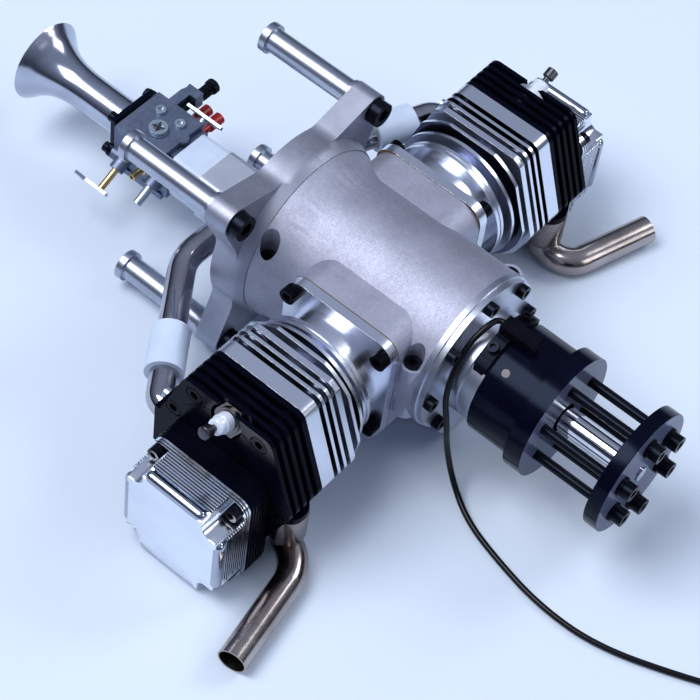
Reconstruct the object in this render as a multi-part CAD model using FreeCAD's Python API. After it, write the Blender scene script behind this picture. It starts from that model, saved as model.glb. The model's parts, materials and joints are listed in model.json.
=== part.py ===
import FreeCAD, Part
import os
import math

# Flat twin four-stroke aircraft engine, millimetres, +Z up, propeller end at -Y, carburettor at +Y.
# The origin is the middle of the four standoff feet that meet the firewall, on the crank axis.

V = FreeCAD.Vector
EX, EY, EZ = V(1, 0, 0), V(0, 1, 0), V(0, 0, 1)

# Firewall mount
standX, standZ = 49.0, 45.0
plateRear, plateFront = -54.5, -67.5
plateDisc = 49.5
padR = 8.0
waistTurn = math.radians(22.0)
waistRound = 12.0
headSink = 2.0
standR, footR, collarR = 6.3, 8.0, 7.5
footT, collarT = 4.0, 2.0
mountBolt = 4.0
boltGap = 0.15
plateBolts = [(27.0, 27.0), (-27.0, 27.0), (-27.0, -27.0), (27.0, -27.0)]
plateBoltLength = 24.0

# Crankcase
caseRear, caseFront = -73.5, -172.0
barrelR = 42.0
flangeR = 46.5
flareLength = 19.5
chamberR = 24.5
seamX = 43.0
stubHalf, stubTop, stubLow = 32.0, 33.4, -38.0
splitBolts = [(-36.0, -78.0), (-36.0, -166.0), (36.0, -166.0)]
underBolt = (16.5, -79.0)
splitBolt = 2.5
coverPcd = 37.0
coverAngles = [0, 45, 90, 135, 180, 225, 315]

# Cylinders
leftY, rightY = -130.5, -109.0
gasket = 0.5
flangeT = 5.0
boreR = 20.0
spigotR = 24.0
neckR = 28.0
headX = 102.3
baseBoltY, baseBoltZ = 27.0, 26.0
baseBolt = 2.5
section = [(25.4, 36.0), (41.0, -8.0), (24.0, -48.0), (-24.0, -48.0), (-41.0, -8.0), (-25.4, 36.0)]
headBolts = [(19.0, 28.5), (-19.0, 28.5), (30.5, 8.0), (-33.0, -14.0)]

# Heads and rocker covers
finTopX = 125.0
boxX = 137.5
coverX = 158.5
boxHalf = 28.4
boxTop, boxLow = 4.2, -56.0
coverInset = 5.2
barR, barDeep = 2.4, 2.6
coverScrewY = boxHalf - coverInset
coverScrewZ = (boxTop - boxLow) / 2 - coverInset + 0.1
plugTilt = math.radians(24.0)
plugSeat = (117.0, 24.3)
headBoltX = 119.8
valveY, valveZ = 9.5, -9.0
valveTip, pushTip = 129.2, 127.4
rockX, rockZ = 132.5, -27.0
flangeY = 41.5
flangeMidX = 114.2
flangeBolt = 10.2
flangeHalf = 10.5
exhaustPort = V(112.0, -31.0, -38.0)

# Crank and cam
throw = 14.0
pinR = 5.5
journalR = 8.0
webR = 23.5
camZ = -30.0
gearR, camGearR = 10.0, 20.0
gearY, gearW = -158.5, 5.0
camJournal = 3.5
lobeR, lobeBase = 6.0, 4.2
liftY = 8.0
tubeR = 3.0
fit = 0.05

# Front end
ringFront = -178.0
noseFront = -195.0
noseR = 27.0
hubRear, hubStep, hubFront = -195.5, -219.5, -229.0
hubR, propR = 29.0, 32.7
washerRear, washerFront = -265.8, -273.3
propPcd = 21.0
propBolt = 2.5
propShaftR = 6.0
magnetAngle = math.radians(122.0)
magnetY = -202.5
armHalf, armRear, armFront = 4.0, -188.0, hubRear - 11.5
armLow, armTop = 32.2, 36.5
saddleT, padReach = 4.5, 4.6
padTurn = math.radians(21.5)
bracketY = (noseFront + armRear) / 2

# Intake
portZ = -14.5
teeY = -34.5
sleeveFrom, sleeveTo = 0.517, 0.818
upperEnd, lowerStart = 0.655, 0.68
elbow = (45.5, 24.0)
footRun, footBend = 6.4, 8.0
manifoldRear = -13.0
spacerRear = 5.0
carbRear = 41.0
tubeOuter, tubeInner = 7.0, 6.2
sleeveR = 9.6

# Carburettor
carbHalf = 14.5
throttleY, chokeY = 13.0, 33.6
shaftRoll = 27.0
shaftR = 2.4
chokeR = 1.9
discR = 7.6
throatR = 8.0
idleY, idleZ = 25.3, portZ + 10.0
needles = [(25.0, portZ - 5.5), (17.2, portZ - 5.5)]
topScrews = [(6.5, 29.5), (6.5, 16.5)]
longScrewAt = [(-10.5, 11.0), (10.5, -11.0)]
lugAt = [(-14.5, -8.5), (14.5, 8.5)]
lugR = 3.4
bellR, mouthR = 22.4, 21.2

# Exhaust
exhaustZ = -49.8
exhaustOuter, exhaustInner = 7.4, 6.6
exhaustRun = {-1: ((-119.0, -176.0), (-177.0, -186.5), 24.0), 1: ((109.5, -158.5), (158.5, -173.5), 12.0)}

# Sensor lead
cordR = 1.5
coilOuter, coilInner = 20.0, 14.0
coilTrim = 0.25
coilLead = 11.0
plugLong, plugWide, plugHigh = 14.0, 8.0, 6.0


def cyl(p, d, r, h):
    return Part.makeCylinder(r, h, V(*p), d)


def box(x0, x1, y0, y1, z0, z1):
    return Part.makeBox(x1 - x0, y1 - y0, z1 - z0, V(x0, y0, z0))


def fuse(shapes):
    out = shapes[0]
    for s in shapes[1:]:
        out = out.fuse(s)
    return out.removeSplitter()


def save(name, shape):
    shape.exportStep("parts/" + name + ".step")


# Closed outline with a rounded corner at every point, the arc meets both sides tangentially.
def outline(points, radii):
    n = len(points)
    edges = []
    ends = []
    for i in range(n):
        p, a, b = V(*points[i]), V(*points[i - 1]), V(*points[(i + 1) % n])
        da, db = (a - p).normalize(), (b - p).normalize()
        half = da.getAngle(db) / 2
        r = radii[i]
        t = r / math.tan(half)
        p0, p1 = p + da * t, p + db * t
        bis = (da + db).normalize()
        mid = p + bis * (r / math.sin(half) - r)
        ends.append((p0, p1))
        edges.append(Part.Arc(p0, mid, p1).toShape())
    for i in range(n):
        edges.append(Part.makeLine(ends[i][1], ends[(i + 1) % n][0]))
    return Part.Wire(Part.__sortEdges__(edges))


# Prism along X from x0 to x1 whose outline is given in (y, z).
def slab(points, radius, x0, x1):
    radii = radius if isinstance(radius, list) else [radius] * len(points)
    wire = outline([(x0, y, z) for y, z in points], radii)
    return Part.Face(wire).extrude(V(x1 - x0, 0, 0))


def rect(half, low, top):
    return [(half, top), (half, low), (-half, low), (-half, top)]


# Path of straight runs joined by tangent arcs.
def path(points, radii):
    pts = [V(*p) for p in points]
    edges = []
    last = pts[0]
    for i in range(1, len(pts) - 1):
        p = pts[i]
        da, db = (pts[i - 1] - p).normalize(), (pts[i + 1] - p).normalize()
        half = da.getAngle(db) / 2
        r = radii[i - 1]
        t = r / math.tan(half)
        p0, p1 = p + da * t, p + db * t
        mid = p + (da + db).normalize() * (r / math.sin(half) - r)
        edges.append(Part.makeLine(last, p0))
        edges.append(Part.Arc(p0, mid, p1).toShape())
        last = p1
    edges.append(Part.makeLine(last, pts[-1]))
    return Part.Wire(edges)


def rod(points, radii, r):
    wire = path(points, radii)
    d = V(*points[1]) - V(*points[0])
    circle = Part.Wire(Part.makeCircle(r, V(*points[0]), d))
    return wire.makePipeShell([circle], True, False)


def pipe(points, radii, outer, inner):
    return rod(points, radii, outer).cut(rod(points, radii, inner))


# Socket head screw: head of radius hr and height hh standing off p along d, shank behind it.
def screw(p, d, r, length, hr, hh):
    p = V(*p)
    head = Part.makeCylinder(hr, hh, p, d)
    shank = Part.makeCylinder(r, length, p - d * length, d)
    side = V(0, 1, 0) if abs(d.y) < 0.9 else V(1, 0, 0)
    other = d.cross(side)
    top = p + d * hh
    key = hr * 0.56
    ring = [top + side * (key * math.cos(k * math.pi / 3)) + other * (key * math.sin(k * math.pi / 3))
            for k in range(6)]
    socket = Part.Face(Part.makePolygon(ring + [ring[0]])).extrude(d * (-hh * 0.55))
    return head.fuse(shank).cut(socket)


# Cylinder side parts are drawn for the right bank at y = 0 and placed by this pair.
def moved(shape, y):
    out = shape.copy()
    out.translate(V(0, y, 0))
    return out


def bank(shape, side):
    if side < 0:
        return moved(shape.mirror(V(0, 0, 0), EX), leftY)
    return moved(shape, rightY)


def both(maker):
    one = maker()
    left = bank(one, -1)
    right = bank(one, 1)
    return Part.makeCompound([left, right])


def bankY(side):
    return leftY if side < 0 else rightY


# Pushrod line: from the lifter in the case out and down to the rocker box.
pushStart = (22.5, camZ)
pushEnd = (126.5, -45.0)


def pushAxis():
    return V(pushEnd[0] - pushStart[0], 0, pushEnd[1] - pushStart[1]).normalize()


def pushPoint(x, y):
    d = pushAxis()
    return V(pushStart[0], y, pushStart[1]) + d * ((x - pushStart[0]) / d.x)


def pushCylinder(y, x0, x1, r):
    a, b = pushPoint(x0, y), pushPoint(x1, y)
    return Part.makeCylinder(r, a.distanceToPoint(b), a, pushAxis())


# Point where a line from p touches the circle at c, on the side that turn names.
def touch(p, c, r, turn):
    way = c - p
    lean = math.asin(r / way.Length) * turn
    length = math.sqrt(way.Length ** 2 - r ** 2)
    a = math.atan2(way.z, way.x) + lean
    return p + V(math.cos(a), 0, math.sin(a)) * length


# One arm of the mount plate: from the disc to the pad, straight on both flanks.
def plateArm(sx, sz):
    top = V(plateDisc * math.sin(waistTurn), 0, plateDisc * math.cos(waistTurn))
    low = V(top.z, 0, top.x)
    pad = V(standX, 0, standZ)
    pts = [V(0, 0, 0), top, touch(top, pad, padR, 1), pad, touch(low, pad, padR, -1), low]
    pts = [V(p.x * sx, plateFront, p.z * sz) for p in pts]
    arm = Part.Face(Part.makePolygon(pts + [pts[0]])).extrude(V(0, plateRear - plateFront, 0))
    return arm.fuse(cyl((sx * standX, plateFront, sz * standZ), EY, padR, plateRear - plateFront))


# Mount plate: a disc with four arms, and the round seat of the crankcase on its front.
def mountPlate():
    arms = [plateArm(sx, sz) for sx in (1, -1) for sz in (1, -1)]
    body = fuse([cyl((0, plateFront, 0), EY, plateDisc, plateRear - plateFront)] + arms)
    corners = []
    for e in body.Edges:
        a, b = e.Vertexes[0].Point, e.Vertexes[-1].Point
        onDisc = abs(math.hypot(a.x, a.z) - plateDisc) < 0.01
        if onDisc and abs(a.x - b.x) < 0.01 and abs(a.z - b.z) < 0.01 and abs(a.y - b.y) > 1:
            corners.append(e)
    body = body.makeFillet(waistRound, corners)
    seat = Part.makeCone(plateDisc, flangeR + 0.6, plateFront - caseRear, V(0, plateFront, 0), V(0, -1, 0))
    body = body.fuse(seat)
    for sx in (1, -1):
        for sz in (1, -1):
            x, z = sx * standX, sz * standZ
            body = body.cut(cyl((x, caseRear - 1, z), EY, mountBolt + boltGap, plateRear - caseRear + 2))
            body = body.cut(cyl((x, plateFront - 1, z), EY, 6.8, headSink + 1))
    for x, z in plateBolts:
        body = body.cut(cyl((x, caseRear - 1, z), EY, splitBolt + boltGap, plateRear - caseRear + 2))
        body = body.cut(cyl((x, plateRear - 5.2, z), EY, 4.6, 6))
    return body.cut(cyl((0, plateRear - 6, portZ), EY, 9.0, 8)).removeSplitter()


# Standoff: front collar against the plate, plain tube, wide foot against the firewall.
def standoff(x, z):
    body = fuse([
        cyl((x, plateRear, z), EY, collarR, collarT),
        cyl((x, plateRear, z), EY, standR, -plateRear),
        cyl((x, -footT, z), EY, footR, footT)])
    body = body.cut(cyl((x, plateRear - 1, z), EY, mountBolt + boltGap, 27))
    return body.cut(cyl((x, -16.0, z), EY, 2.5, 17))


# Crankcase before it is parted on the crank plane.
def caseBody():
    cone = Part.makeCone(flangeR, barrelR, flareLength, V(0, caseRear, 0), V(0, -1, 0))
    parts = [cyl((0, caseFront, 0), EY, barrelR, caseRear - caseFront), cone]
    corner = [13.0, 10.0, 10.0, 13.0]
    for side in (-1, 1):
        stub = slab(rect(stubHalf, stubLow, stubTop), corner, 0.0, seamX)
        parts.append(bank(stub, side))
    bulge = cyl((0, caseFront, camZ), EY, camGearR + 4.2, 27.0)
    parts.append(bulge)
    for x, y in splitBolts:
        parts.append(cyl((x, y, -18), EZ, 6.0, 36.0).common(box(-60, 60, caseFront, caseRear, -30, 30)))
    body = fuse(parts)
    body = body.cut(cyl((0, -145.0, 0), EY, chamberR, 50.5))
    body = body.cut(cyl((0, caseFront - 1, 0), EY, 29.0, 22.0))
    body = body.cut(cyl((0, caseFront - 1, camZ), EY, camGearR + 1.6, 22.0))
    body = body.cut(cyl((0, -152.0, 0), EY, 13.0 + fit, 8.0))
    body = body.cut(cyl((0, -95.0, 0), EY, 13.0 + fit, 8.0))
    body = body.cut(cyl((0, -88.0, 0), EY, 9.0, 8.0))
    body = body.cut(cyl((0, -145.0, camZ), EY, lobeR + 0.8, 50.0))
    body = body.cut(cyl((0, -152.0, camZ), EY, camJournal + fit, 63.0))
    seat = slab(rect(stubHalf + 0.5, stubLow - 0.5, stubTop + 0.5), corner, seamX, seamX + 20)
    for side in (-1, 1):
        yc = bankY(side)
        d = V(side, 0, 0)
        body = body.cut(bank(seat, side))
        body = body.cut(Part.makeCylinder(spigotR + 0.1, 20, V(side * 32.0, yc, 0), d))
        body = body.cut(Part.makeCylinder(boreR + 0.3, 26, V(side * 16.0, yc, 0), d))
        for sy in (1, -1):
            for sz in (1, -1):
                p = V(side * 32.0, yc + sy * baseBoltY, sz * baseBoltZ)
                body = body.cut(Part.makeCylinder(baseBolt + boltGap, 20, p, d))
            y = yc + sy * liftY
            body = body.cut(Part.makeCylinder(3.0 + fit, 26.0, V(0, y, camZ), d))
            hole = pushCylinder(0, 25.5, 60, tubeR + 0.1)
            if side < 0:
                hole = hole.mirror(V(0, 0, 0), EX)
            body = body.cut(moved(hole, y))
    for x, y in splitBolts:
        body = body.cut(cyl((x, y, 13.0), EZ, 4.6, 40))
        body = body.cut(cyl((x, y, -14.0), EZ, splitBolt + boltGap, 40))
    x, y = underBolt
    body = body.cut(cyl((x, y, -63.0), EZ, 4.6, 50))
    body = body.cut(cyl((x, y, -26.0), EZ, splitBolt + boltGap, 40))
    for x, z in plateBolts:
        body = body.cut(cyl((x, caseRear - 13, z), EY, splitBolt + boltGap, 14))
    for x, z in coverPlaces():
        body = body.cut(cyl((x, caseFront - 1, z), EY, 2.0 + boltGap, 3.6))
    return body


def coverPlaces():
    turns = [math.radians(a) for a in coverAngles]
    return [(coverPcd * math.cos(a), coverPcd * math.sin(a)) for a in turns]


def crankcase():
    body = caseBody()
    upper = body.common(box(-80, 80, caseFront - 1, caseRear + 1, 0, 90))
    lower = body.common(box(-80, 80, caseFront - 1, caseRear + 1, -90, 0))
    return upper, lower


# Front cover: bright ring, flat face and the bearing nose.
def frontCover():
    body = fuse([
        cyl((0, ringFront, 0), EY, 41.0, 3.2),
        cyl((0, caseFront - 2.8, 0), EY, barrelR, 2.8),
        cyl((0, noseFront, 0), EY, noseR, ringFront - noseFront + 1),
        cyl((0, noseFront, 0), EY, noseR + 1.3, 1.2),
        cyl((0, caseFront, 0), EY, 29.0 - fit, 3.0)])
    lobe = cyl((0, ringFront, camZ), EY, camGearR + 4.0, 6.0)
    body = body.fuse(lobe)
    groove = cyl((0, -188.0, 0), EY, noseR + 1, 1.6).cut(cyl((0, -188.0, 0), EY, noseR - 1.2, 1.6))
    body = body.cut(groove)
    body = body.cut(cyl((0, noseFront - 1, 0), EY, 9.0, 30.0))
    body = body.cut(cyl((0, noseFront + 2, 0), EY, 13.0 + fit, 8.0))
    body = body.cut(cyl((0, noseFront - 1, 0), EY, 11.0, 4.0))
    body = body.cut(cyl((0, caseFront - 2.5, camZ), EY, camJournal + fit, 8.0))
    for x, z in coverPlaces():
        body = body.cut(cyl((x, ringFront - 1, z), EY, 2.0 + boltGap, 12.0))
    for turn in (1, -1):
        d = padDir(turn)
        body = body.cut(Part.makeCylinder(1.5 + boltGap, 10, V(0, bracketY, 0) + d * 20.0, d))
    return body.removeSplitter()


def padDir(turn):
    return V(turn * math.sin(padTurn), 0, math.cos(padTurn))


def bearing(y, width):
    outer = cyl((0, y, 0), EY, 13.0, width)
    return outer.cut(cyl((0, y - 1, 0), EY, journalR + fit, width + 2))


# Crankshaft: three webs with cut away flanks, two opposed pins, long propeller shaft.
def crankshaft():
    parts = [
        cyl((0, -96.0, 0), EY, journalR, 12.0),
        cyl((0, noseFront - 0.5, 0), EY, journalR, noseFront * -1 + 0.5 - 144.0)]
    webs = ((-101.5, -96.0, 1), (-122.5, -117.0, 0), (-144.0, -138.5, -1))
    for y0, y1, kind in webs:
        web = cyl((0, y0, 0), EY, webR, y1 - y0)
        keep = box(-webR, webR, y0, y1, -13.0, 13.0)
        if kind:
            keep = keep.fuse(box(min(0, -kind * 30), max(0, -kind * 30), y0, y1, -30, 30))
        parts.append(web.common(keep))
    parts.append(cyl((throw, -117.5, 0), EY, pinR, 16.5))
    parts.append(cyl((-throw, -139.0, 0), EY, pinR, 17.0))
    parts.append(cyl((0, hubFront + 4.0, 0), EY, journalR, -hubFront - 4.0 + hubRear))
    parts.append(cyl((0, washerRear + 0.5, 0), EY, propShaftR, hubFront + 4.5 - washerRear))
    parts.append(cyl((0, washerFront - 0.8, 0), EY, 3.6, 12.0))
    return fuse(parts)


# Spur gear from trapezoid teeth on a root cylinder.
def gear(z, pitch, teeth, bore, turn):
    root, tip = pitch - 1.1, pitch + 0.7
    body = cyl((0, gearY, z), EY, root, gearW)
    step = 2 * math.pi / teeth
    shapes = [body]
    for k in range(teeth):
        a = k * step + turn
        pts = []
        for r, w in ((root - 0.6, 0.27), (tip, 0.13), (tip, -0.13), (root - 0.6, -0.27)):
            b = a + w * step
            pts.append(V(r * math.sin(b), gearY, z + r * math.cos(b)))
        shapes.append(Part.Face(Part.makePolygon(pts + [pts[0]])).extrude(V(0, gearW, 0)))
    out = shapes[0].fuse(shapes[1:])
    return out.cut(cyl((0, gearY - 1, z), EY, bore, gearW + 2)).removeSplitter()


def camshaft():
    y0 = caseFront - 2.0
    parts = [cyl((0, y0, camZ), EY, camJournal, -90.0 - y0)]
    for side in (-1, 1):
        for sy in (-1, 1):
            y = bankY(side) + sy * liftY
            lobe = cyl((0, y - 2.2, camZ), EY, lobeBase, 4.4)
            angle = (40.0 if sy > 0 else -60.0) + (90.0 if side > 0 else 0.0)
            a = math.radians(angle)
            nose = cyl((3.4 * math.cos(a), y - 2.2, camZ + 3.4 * math.sin(a)), EY, lobeR - 3.4, 4.4)
            parts.append(lobe)
            parts.append(nose)
    return fuse(parts)


def lifters():
    out = []
    for side in (-1, 1):
        for sy in (-1, 1):
            p = V(side * (lobeR + 0.4), bankY(side) + sy * liftY, camZ)
            body = Part.makeCylinder(3.0, 15.6, p, V(side, 0, 0))
            out.append(body)
    return Part.makeCompound(out)


def pushrods():
    def one():
        return Part.makeCompound([pushCylinder(sy * liftY, 22.6, pushTip, 1.2) for sy in (-1, 1)])
    return both(one)


def pushTubes():
    def one():
        out = []
        for sy in (-1, 1):
            tube = pushCylinder(sy * liftY, 26.5, 105.6, tubeR)
            out.append(tube.cut(pushCylinder(sy * liftY, 20, 130, tubeR - 0.7)))
        return Part.makeCompound(out)
    return both(one)


# Finned cylinder with base flange, polished neck, growing fins and the slotted band.
def cylinder():
    shell = slab(section, 6.0, 66.0, headX)
    parts = [
        slab(rect(stubHalf, stubLow, stubTop), [10.0] * 4, seamX + gasket, seamX + gasket + flangeT),
        cyl((33.0, 0, 0), EX, spigotR, 12.0),
        cyl((45.0, 0, 0), EX, neckR, 17.0),
        cyl((45.0, 0, 0), EX, 25.0, headX - 45.0),
        cyl((61.0, 0, 0), EX, 32.7, 2.0),
        cyl((63.0, 0, 0), EX, 31.6, 0.8),
        cyl((63.8, 0, 0), EX, 32.7, 1.8)]
    fins = ((69.0, 70.8, 35.2), (74.2, 76.0, 38.6), (79.4, 82.0, 42.2))
    for x0, x1, r in fins:
        fin = shell.common(cyl((x0, 0, 0), EX, r, x1 - x0))
        parts.append(fin)
    tail = shell.common(box(82.0, headX, -60, 60, -60, 60)).common(
        Part.makeCone(42.2, 62.0, headX - 82.0, V(82.0, 0, 0), EX))
    parts.append(tail)
    body = fuse(parts)
    columns = fuse([cyl((80.0, y, z), EX, 6.4, 25) for y, z in headBolts])
    for x0 in (82.6, 87.0, 91.4):
        slot = slab([(y * 1.2, z * 1.2) for y, z in section], 7.0, x0, x0 + 2.6)
        slot = slot.cut(cyl((x0 - 1, 0, 0), EX, 26.0, 5)).cut(columns)
        body = body.cut(slot)
    body = body.cut(cyl((30.0, 0, 0), EX, boreR, 80.0))
    for sy in (1, -1):
        for sz in (1, -1):
            body = body.cut(cyl((40, sy * baseBoltY, sz * baseBoltZ), EX, baseBolt + boltGap, 20))
        body = body.cut(pushCylinder(sy * liftY, 30, 120, tubeR + 0.1))
    for y, z in headBolts:
        body = body.cut(cyl((84.0, y, z), EX, baseBolt + boltGap, 30))
    return body


def baseGasket():
    body = slab(rect(stubHalf, stubLow, stubTop), [10.0] * 4, seamX, seamX + gasket)
    body = body.cut(cyl((40, 0, 0), EX, spigotR + 0.1, 10))
    for sy in (1, -1):
        for sz in (1, -1):
            body = body.cut(cyl((40, sy * baseBoltY, sz * baseBoltZ), EX, baseBolt + boltGap, 10))
        body = body.cut(pushCylinder(sy * liftY, 30, 60, tubeR + 0.1))
    return body


def cylinderBolts():
    def one():
        x = seamX + gasket + flangeT
        out = [screw((x, sy * baseBoltY, sz * baseBoltZ), EX, baseBolt, 15.0, 4.25, 5.0)
               for sy in (1, -1) for sz in (1, -1)]
        out += [screw((headBoltX, y, z), EX, baseBolt, 34.0, 4.25, 5.0) for y, z in headBolts]
        return Part.makeCompound(out)
    return both(one)


plugDir = V(math.cos(plugTilt), 0, math.sin(plugTilt))


def plugPoint(t):
    return V(plugSeat[0], 0, plugSeat[1]) + plugDir * t


# Head: fins that carry on the cylinder section, rocker box, plug boss and both ports.
def head():
    plate = slab(section, 6.0, headX, headX + 3.0)
    parts = [plate, cyl((headX, 0, 0), EX, 29.0, finTopX - headX)]
    parts.append(slab(rect(24.0, -46.0, 0.0), 8.0, headX, finTopX))
    for x0 in (108.2, 113.0, 117.8, 122.6):
        parts.append(slab(section, 6.0, x0, x0 + 2.2))
    for y, z in headBolts:
        parts.append(cyl((headX, y, z), EX, 5.2, headBoltX - headX))
    parts.append(slab(rect(boxHalf, boxLow, boxTop), 7.0, finTopX - 1.0, boxX))
    boss = Part.makeCylinder(11.0, 34.0, plugPoint(-30), plugDir)
    parts.append(boss.common(box(headX, 140, -30, 30, -10, 60)))
    parts.append(box(flangeMidX - flangeHalf, flangeMidX + flangeHalf, 20.0, flangeY,
                     portZ - flangeBolt - 3.3, portZ + flangeBolt + 3.3))
    parts.append(Part.makeCylinder(8.9, 21.6, exhaustPort + V(0, 0, 18), V(0, 0, -1)))
    body = fuse(parts)
    body = body.cut(cyl((headX - 1, 0, 0), EX, 18.0, 4.5))
    body = body.cut(Part.makeCylinder(8.9, 12.0, plugPoint(0), plugDir))
    body = body.cut(Part.makeCylinder(5.0 + 0.1, 40.0, plugPoint(-14.5), plugDir))
    inner = slab(rect(boxHalf - 4.0, boxLow + 4.0, boxTop - 4.0), 4.0, finTopX + 2.0, boxX + 1)
    mid = (boxTop + boxLow) / 2
    posts = fuse([cyl((finTopX, sy * coverScrewY, mid + sz * coverScrewZ), EX, 5.0, 20)
                  for sy in (1, -1) for sz in (1, -1)])
    body = body.cut(inner.cut(posts))
    for sy in (1, -1):
        body = body.cut(cyl((headX, sy * valveY, valveZ), EX, 2.0 + fit, 40))
        body = body.cut(cyl((headX, sy * valveY, valveZ), EX, 7.0, 9.0))
        body = body.cut(pushCylinder(sy * liftY, 95, 106.0, tubeR + 0.1))
        body = body.cut(pushCylinder(sy * liftY, 100, 135, 2.2))
        for sz in (1, -1):
            p = (boxX - 7.0, sy * coverScrewY, mid + sz * coverScrewZ)
            body = body.cut(cyl(p, EX, 2.0 + boltGap, 9))
    body = body.cut(cyl((flangeMidX, valveY - 4, portZ), EY, tubeInner, 60))
    for sz in (1, -1):
        body = body.cut(cyl((flangeMidX, flangeY - 9, portZ + sz * flangeBolt), EY, 1.5 + boltGap, 20))
    body = body.cut(Part.makeCylinder(6.0, 30.0, exhaustPort + V(0, 0, 18), V(0, 0, -1)))
    body = body.cut(Part.makeCylinder(7.5, 12.0, exhaustPort + V(0, 0, -0.5), V(0, 0, -1)))
    seat = V(headX + 6.0, -valveY, valveZ)
    lead = exhaustPort + V(0, 0, 14.0) - seat
    body = body.cut(Part.makeCylinder(5.0, lead.Length, seat, lead.normalize()))
    for y, z in headBolts:
        body = body.cut(cyl((headX - 1, y, z), EX, baseBolt + boltGap, 30))
        body = body.cut(cyl((headBoltX, y, z), EX, 4.8, 5.3))
    return body


# Rocker cover: shell with notched corners, a flat outer face and a round bar on each edge.
def rockerCover():
    mid = (boxTop + boxLow) / 2
    body = slab(rect(boxHalf, boxLow, boxTop), 7.0, boxX, coverX)
    for sy in (1, -1):
        for sz in (1, -1):
            y, z = sy * coverScrewY, mid + sz * coverScrewZ
            notch = cyl((boxX + 4.0, y, z), EX, 5.4, 30)
            body = body.cut(notch)
            edge = box(boxX + 4.0, coverX + 1, min(y, y + sy * 9), max(y, y + sy * 9),
                       min(z, z + sz * 9), max(z, z + sz * 9))
            body = body.cut(edge)
    for k in range(6):
        x0 = boxX + 3.4 + k * 2.5
        ring = slab(rect(boxHalf + 2, boxLow - 2, boxTop + 2), 7.0, x0, x0 + 1.1)
        keep = slab(rect(boxHalf - 1.3, boxLow + 1.3, boxTop - 1.3), 6.0, x0 - 1, x0 + 3)
        body = body.cut(ring.cut(keep))
    barY, barZ = coverScrewY - 5.7, coverScrewZ - 7.0
    body = body.fuse(cyl((coverX - barDeep, -barY, boxTop - 1.8), EY, barR, 2 * barY))
    body = body.fuse(cyl((coverX - barDeep, -boxHalf + 1.8, mid - barZ), EZ, barR, 2 * barZ))
    body = body.fuse(cyl((coverX - barDeep, boxHalf - 1.8, mid - barZ), EZ, barR, 2 * barZ))
    y0, y1, z1 = coverScrewY - 6.7, boxHalf - 4.4, coverScrewZ - 6.0
    half = [(y0, boxTop - 4.5), (y0, mid + z1), (y1, mid + z1), (y1, mid - z1), (y0, mid - z1),
            (y0, boxLow + 4.5)]
    pts = half + [(-y, z) for y, z in reversed(half)]
    wire = Part.makePolygon([V(boxX - 1, y, z) for y, z in pts + [pts[0]]])
    body = body.cut(Part.Face(wire).extrude(V(coverX - boxX - 3.0, 0, 0)))
    for sy in (1, -1):
        for sz in (1, -1):
            p = (boxX - 1, sy * coverScrewY, mid + sz * coverScrewZ)
            body = body.cut(cyl(p, EX, 2.0 + boltGap, 12))
    return body.removeSplitter()


def coverBolts():
    mid = (boxTop + boxLow) / 2

    def one():
        return Part.makeCompound([
            screw((boxX + 4.0, sy * coverScrewY, mid + sz * coverScrewZ), EX, 2.0, 10.0, 3.5, 4.0)
            for sy in (1, -1) for sz in (1, -1)])
    return both(one)


def plugShell():
    ring = []
    for k in range(6):
        a = k * math.pi / 3
        side = V(0, 1, 0) * (8.6 * math.cos(a)) + plugDir.cross(V(0, 1, 0)) * (8.6 * math.sin(a))
        ring.append(plugPoint(1.6) + side)
    hexagon = Part.Face(Part.makePolygon(ring + [ring[0]])).extrude(plugDir * 5.0)
    body = fuse([
        hexagon,
        Part.makeCylinder(7.6, 1.6, plugPoint(0), plugDir),
        Part.makeCylinder(5.0, 13.5, plugPoint(-13.0), plugDir),
        Part.makeCylinder(6.4, 2.0, plugPoint(6.0), plugDir)])
    return body.cut(Part.makeCylinder(3.0, 40, plugPoint(-20), plugDir))


def plugInsulator():
    body = fuse([
        Part.makeCylinder(2.9, 20.0, plugPoint(-12.0), plugDir),
        Part.makeCone(4.7, 4.0, 9.4, plugPoint(8.05), plugDir),
        Part.makeCylinder(1.6, 3.4, plugPoint(17.4), plugDir),
        Part.makeCylinder(3.1, 5.0, plugPoint(20.6), plugDir)])
    return body


def valves():
    def one():
        out = []
        for sy in (1, -1):
            y = sy * valveY
            out.append(fuse([cyl((headX + 1.0, y, valveZ), EX, 6.6, 1.8),
                             cyl((headX + 1.0, y, valveZ), EX, 2.0, valveTip - headX - 1.0),
                             cyl((valveTip - 1.6, y, valveZ), EX, 4.0, 1.2)]))
        return Part.makeCompound(out)
    return both(one)


def rockers():
    def one():
        out = []
        for sy in (1, -1):
            y = sy * 8.7
            hub = cyl((rockX, y - 3.0, rockZ), EY, 3.6, 6.0)
            arm = box(rockX - 1.5, rockX + 1.5, y - 2.2, y + 2.2, -48.0, -7.0)
            tip = box(valveTip + 0.05, rockX, y - 2.2, y + 2.2, -11.4, -7.0)
            foot = box(pushTip + 0.3, rockX, y - 2.2, y + 2.2, -48.0, -43.0)
            body = fuse([hub, arm, tip, foot])
            out.append(body.cut(cyl((rockX, y - 4.0, rockZ), EY, 2.0 + fit, 8.0)))
        out.append(cyl((rockX, -boxHalf + 4.1, rockZ), EY, 2.0, 2 * boxHalf - 8.2))
        return Part.makeCompound(out)
    return both(one)


def pistons():
    def one():
        body = cyl((67.0, 0, 0), EX, boreR - 0.08, 30.5)
        body = body.cut(cyl((66.0, 0, 0), EX, 16.5, 25.0))
        for x in (84.0, 88.2, 92.4):
            groove = cyl((x, 0, 0), EX, boreR + 1, 1.4).cut(cyl((x - 1, 0, 0), EX, boreR - 1.4, 4))
            body = body.cut(groove)
        body = body.fuse(cyl((77.0, -17.5, 0), EY, 6.5, 8.0)).fuse(cyl((77.0, 9.5, 0), EY, 6.5, 8.0))
        return body.cut(cyl((77.0, -30, 0), EY, 4.0 + 0.03, 60))
    return both(one)


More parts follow.
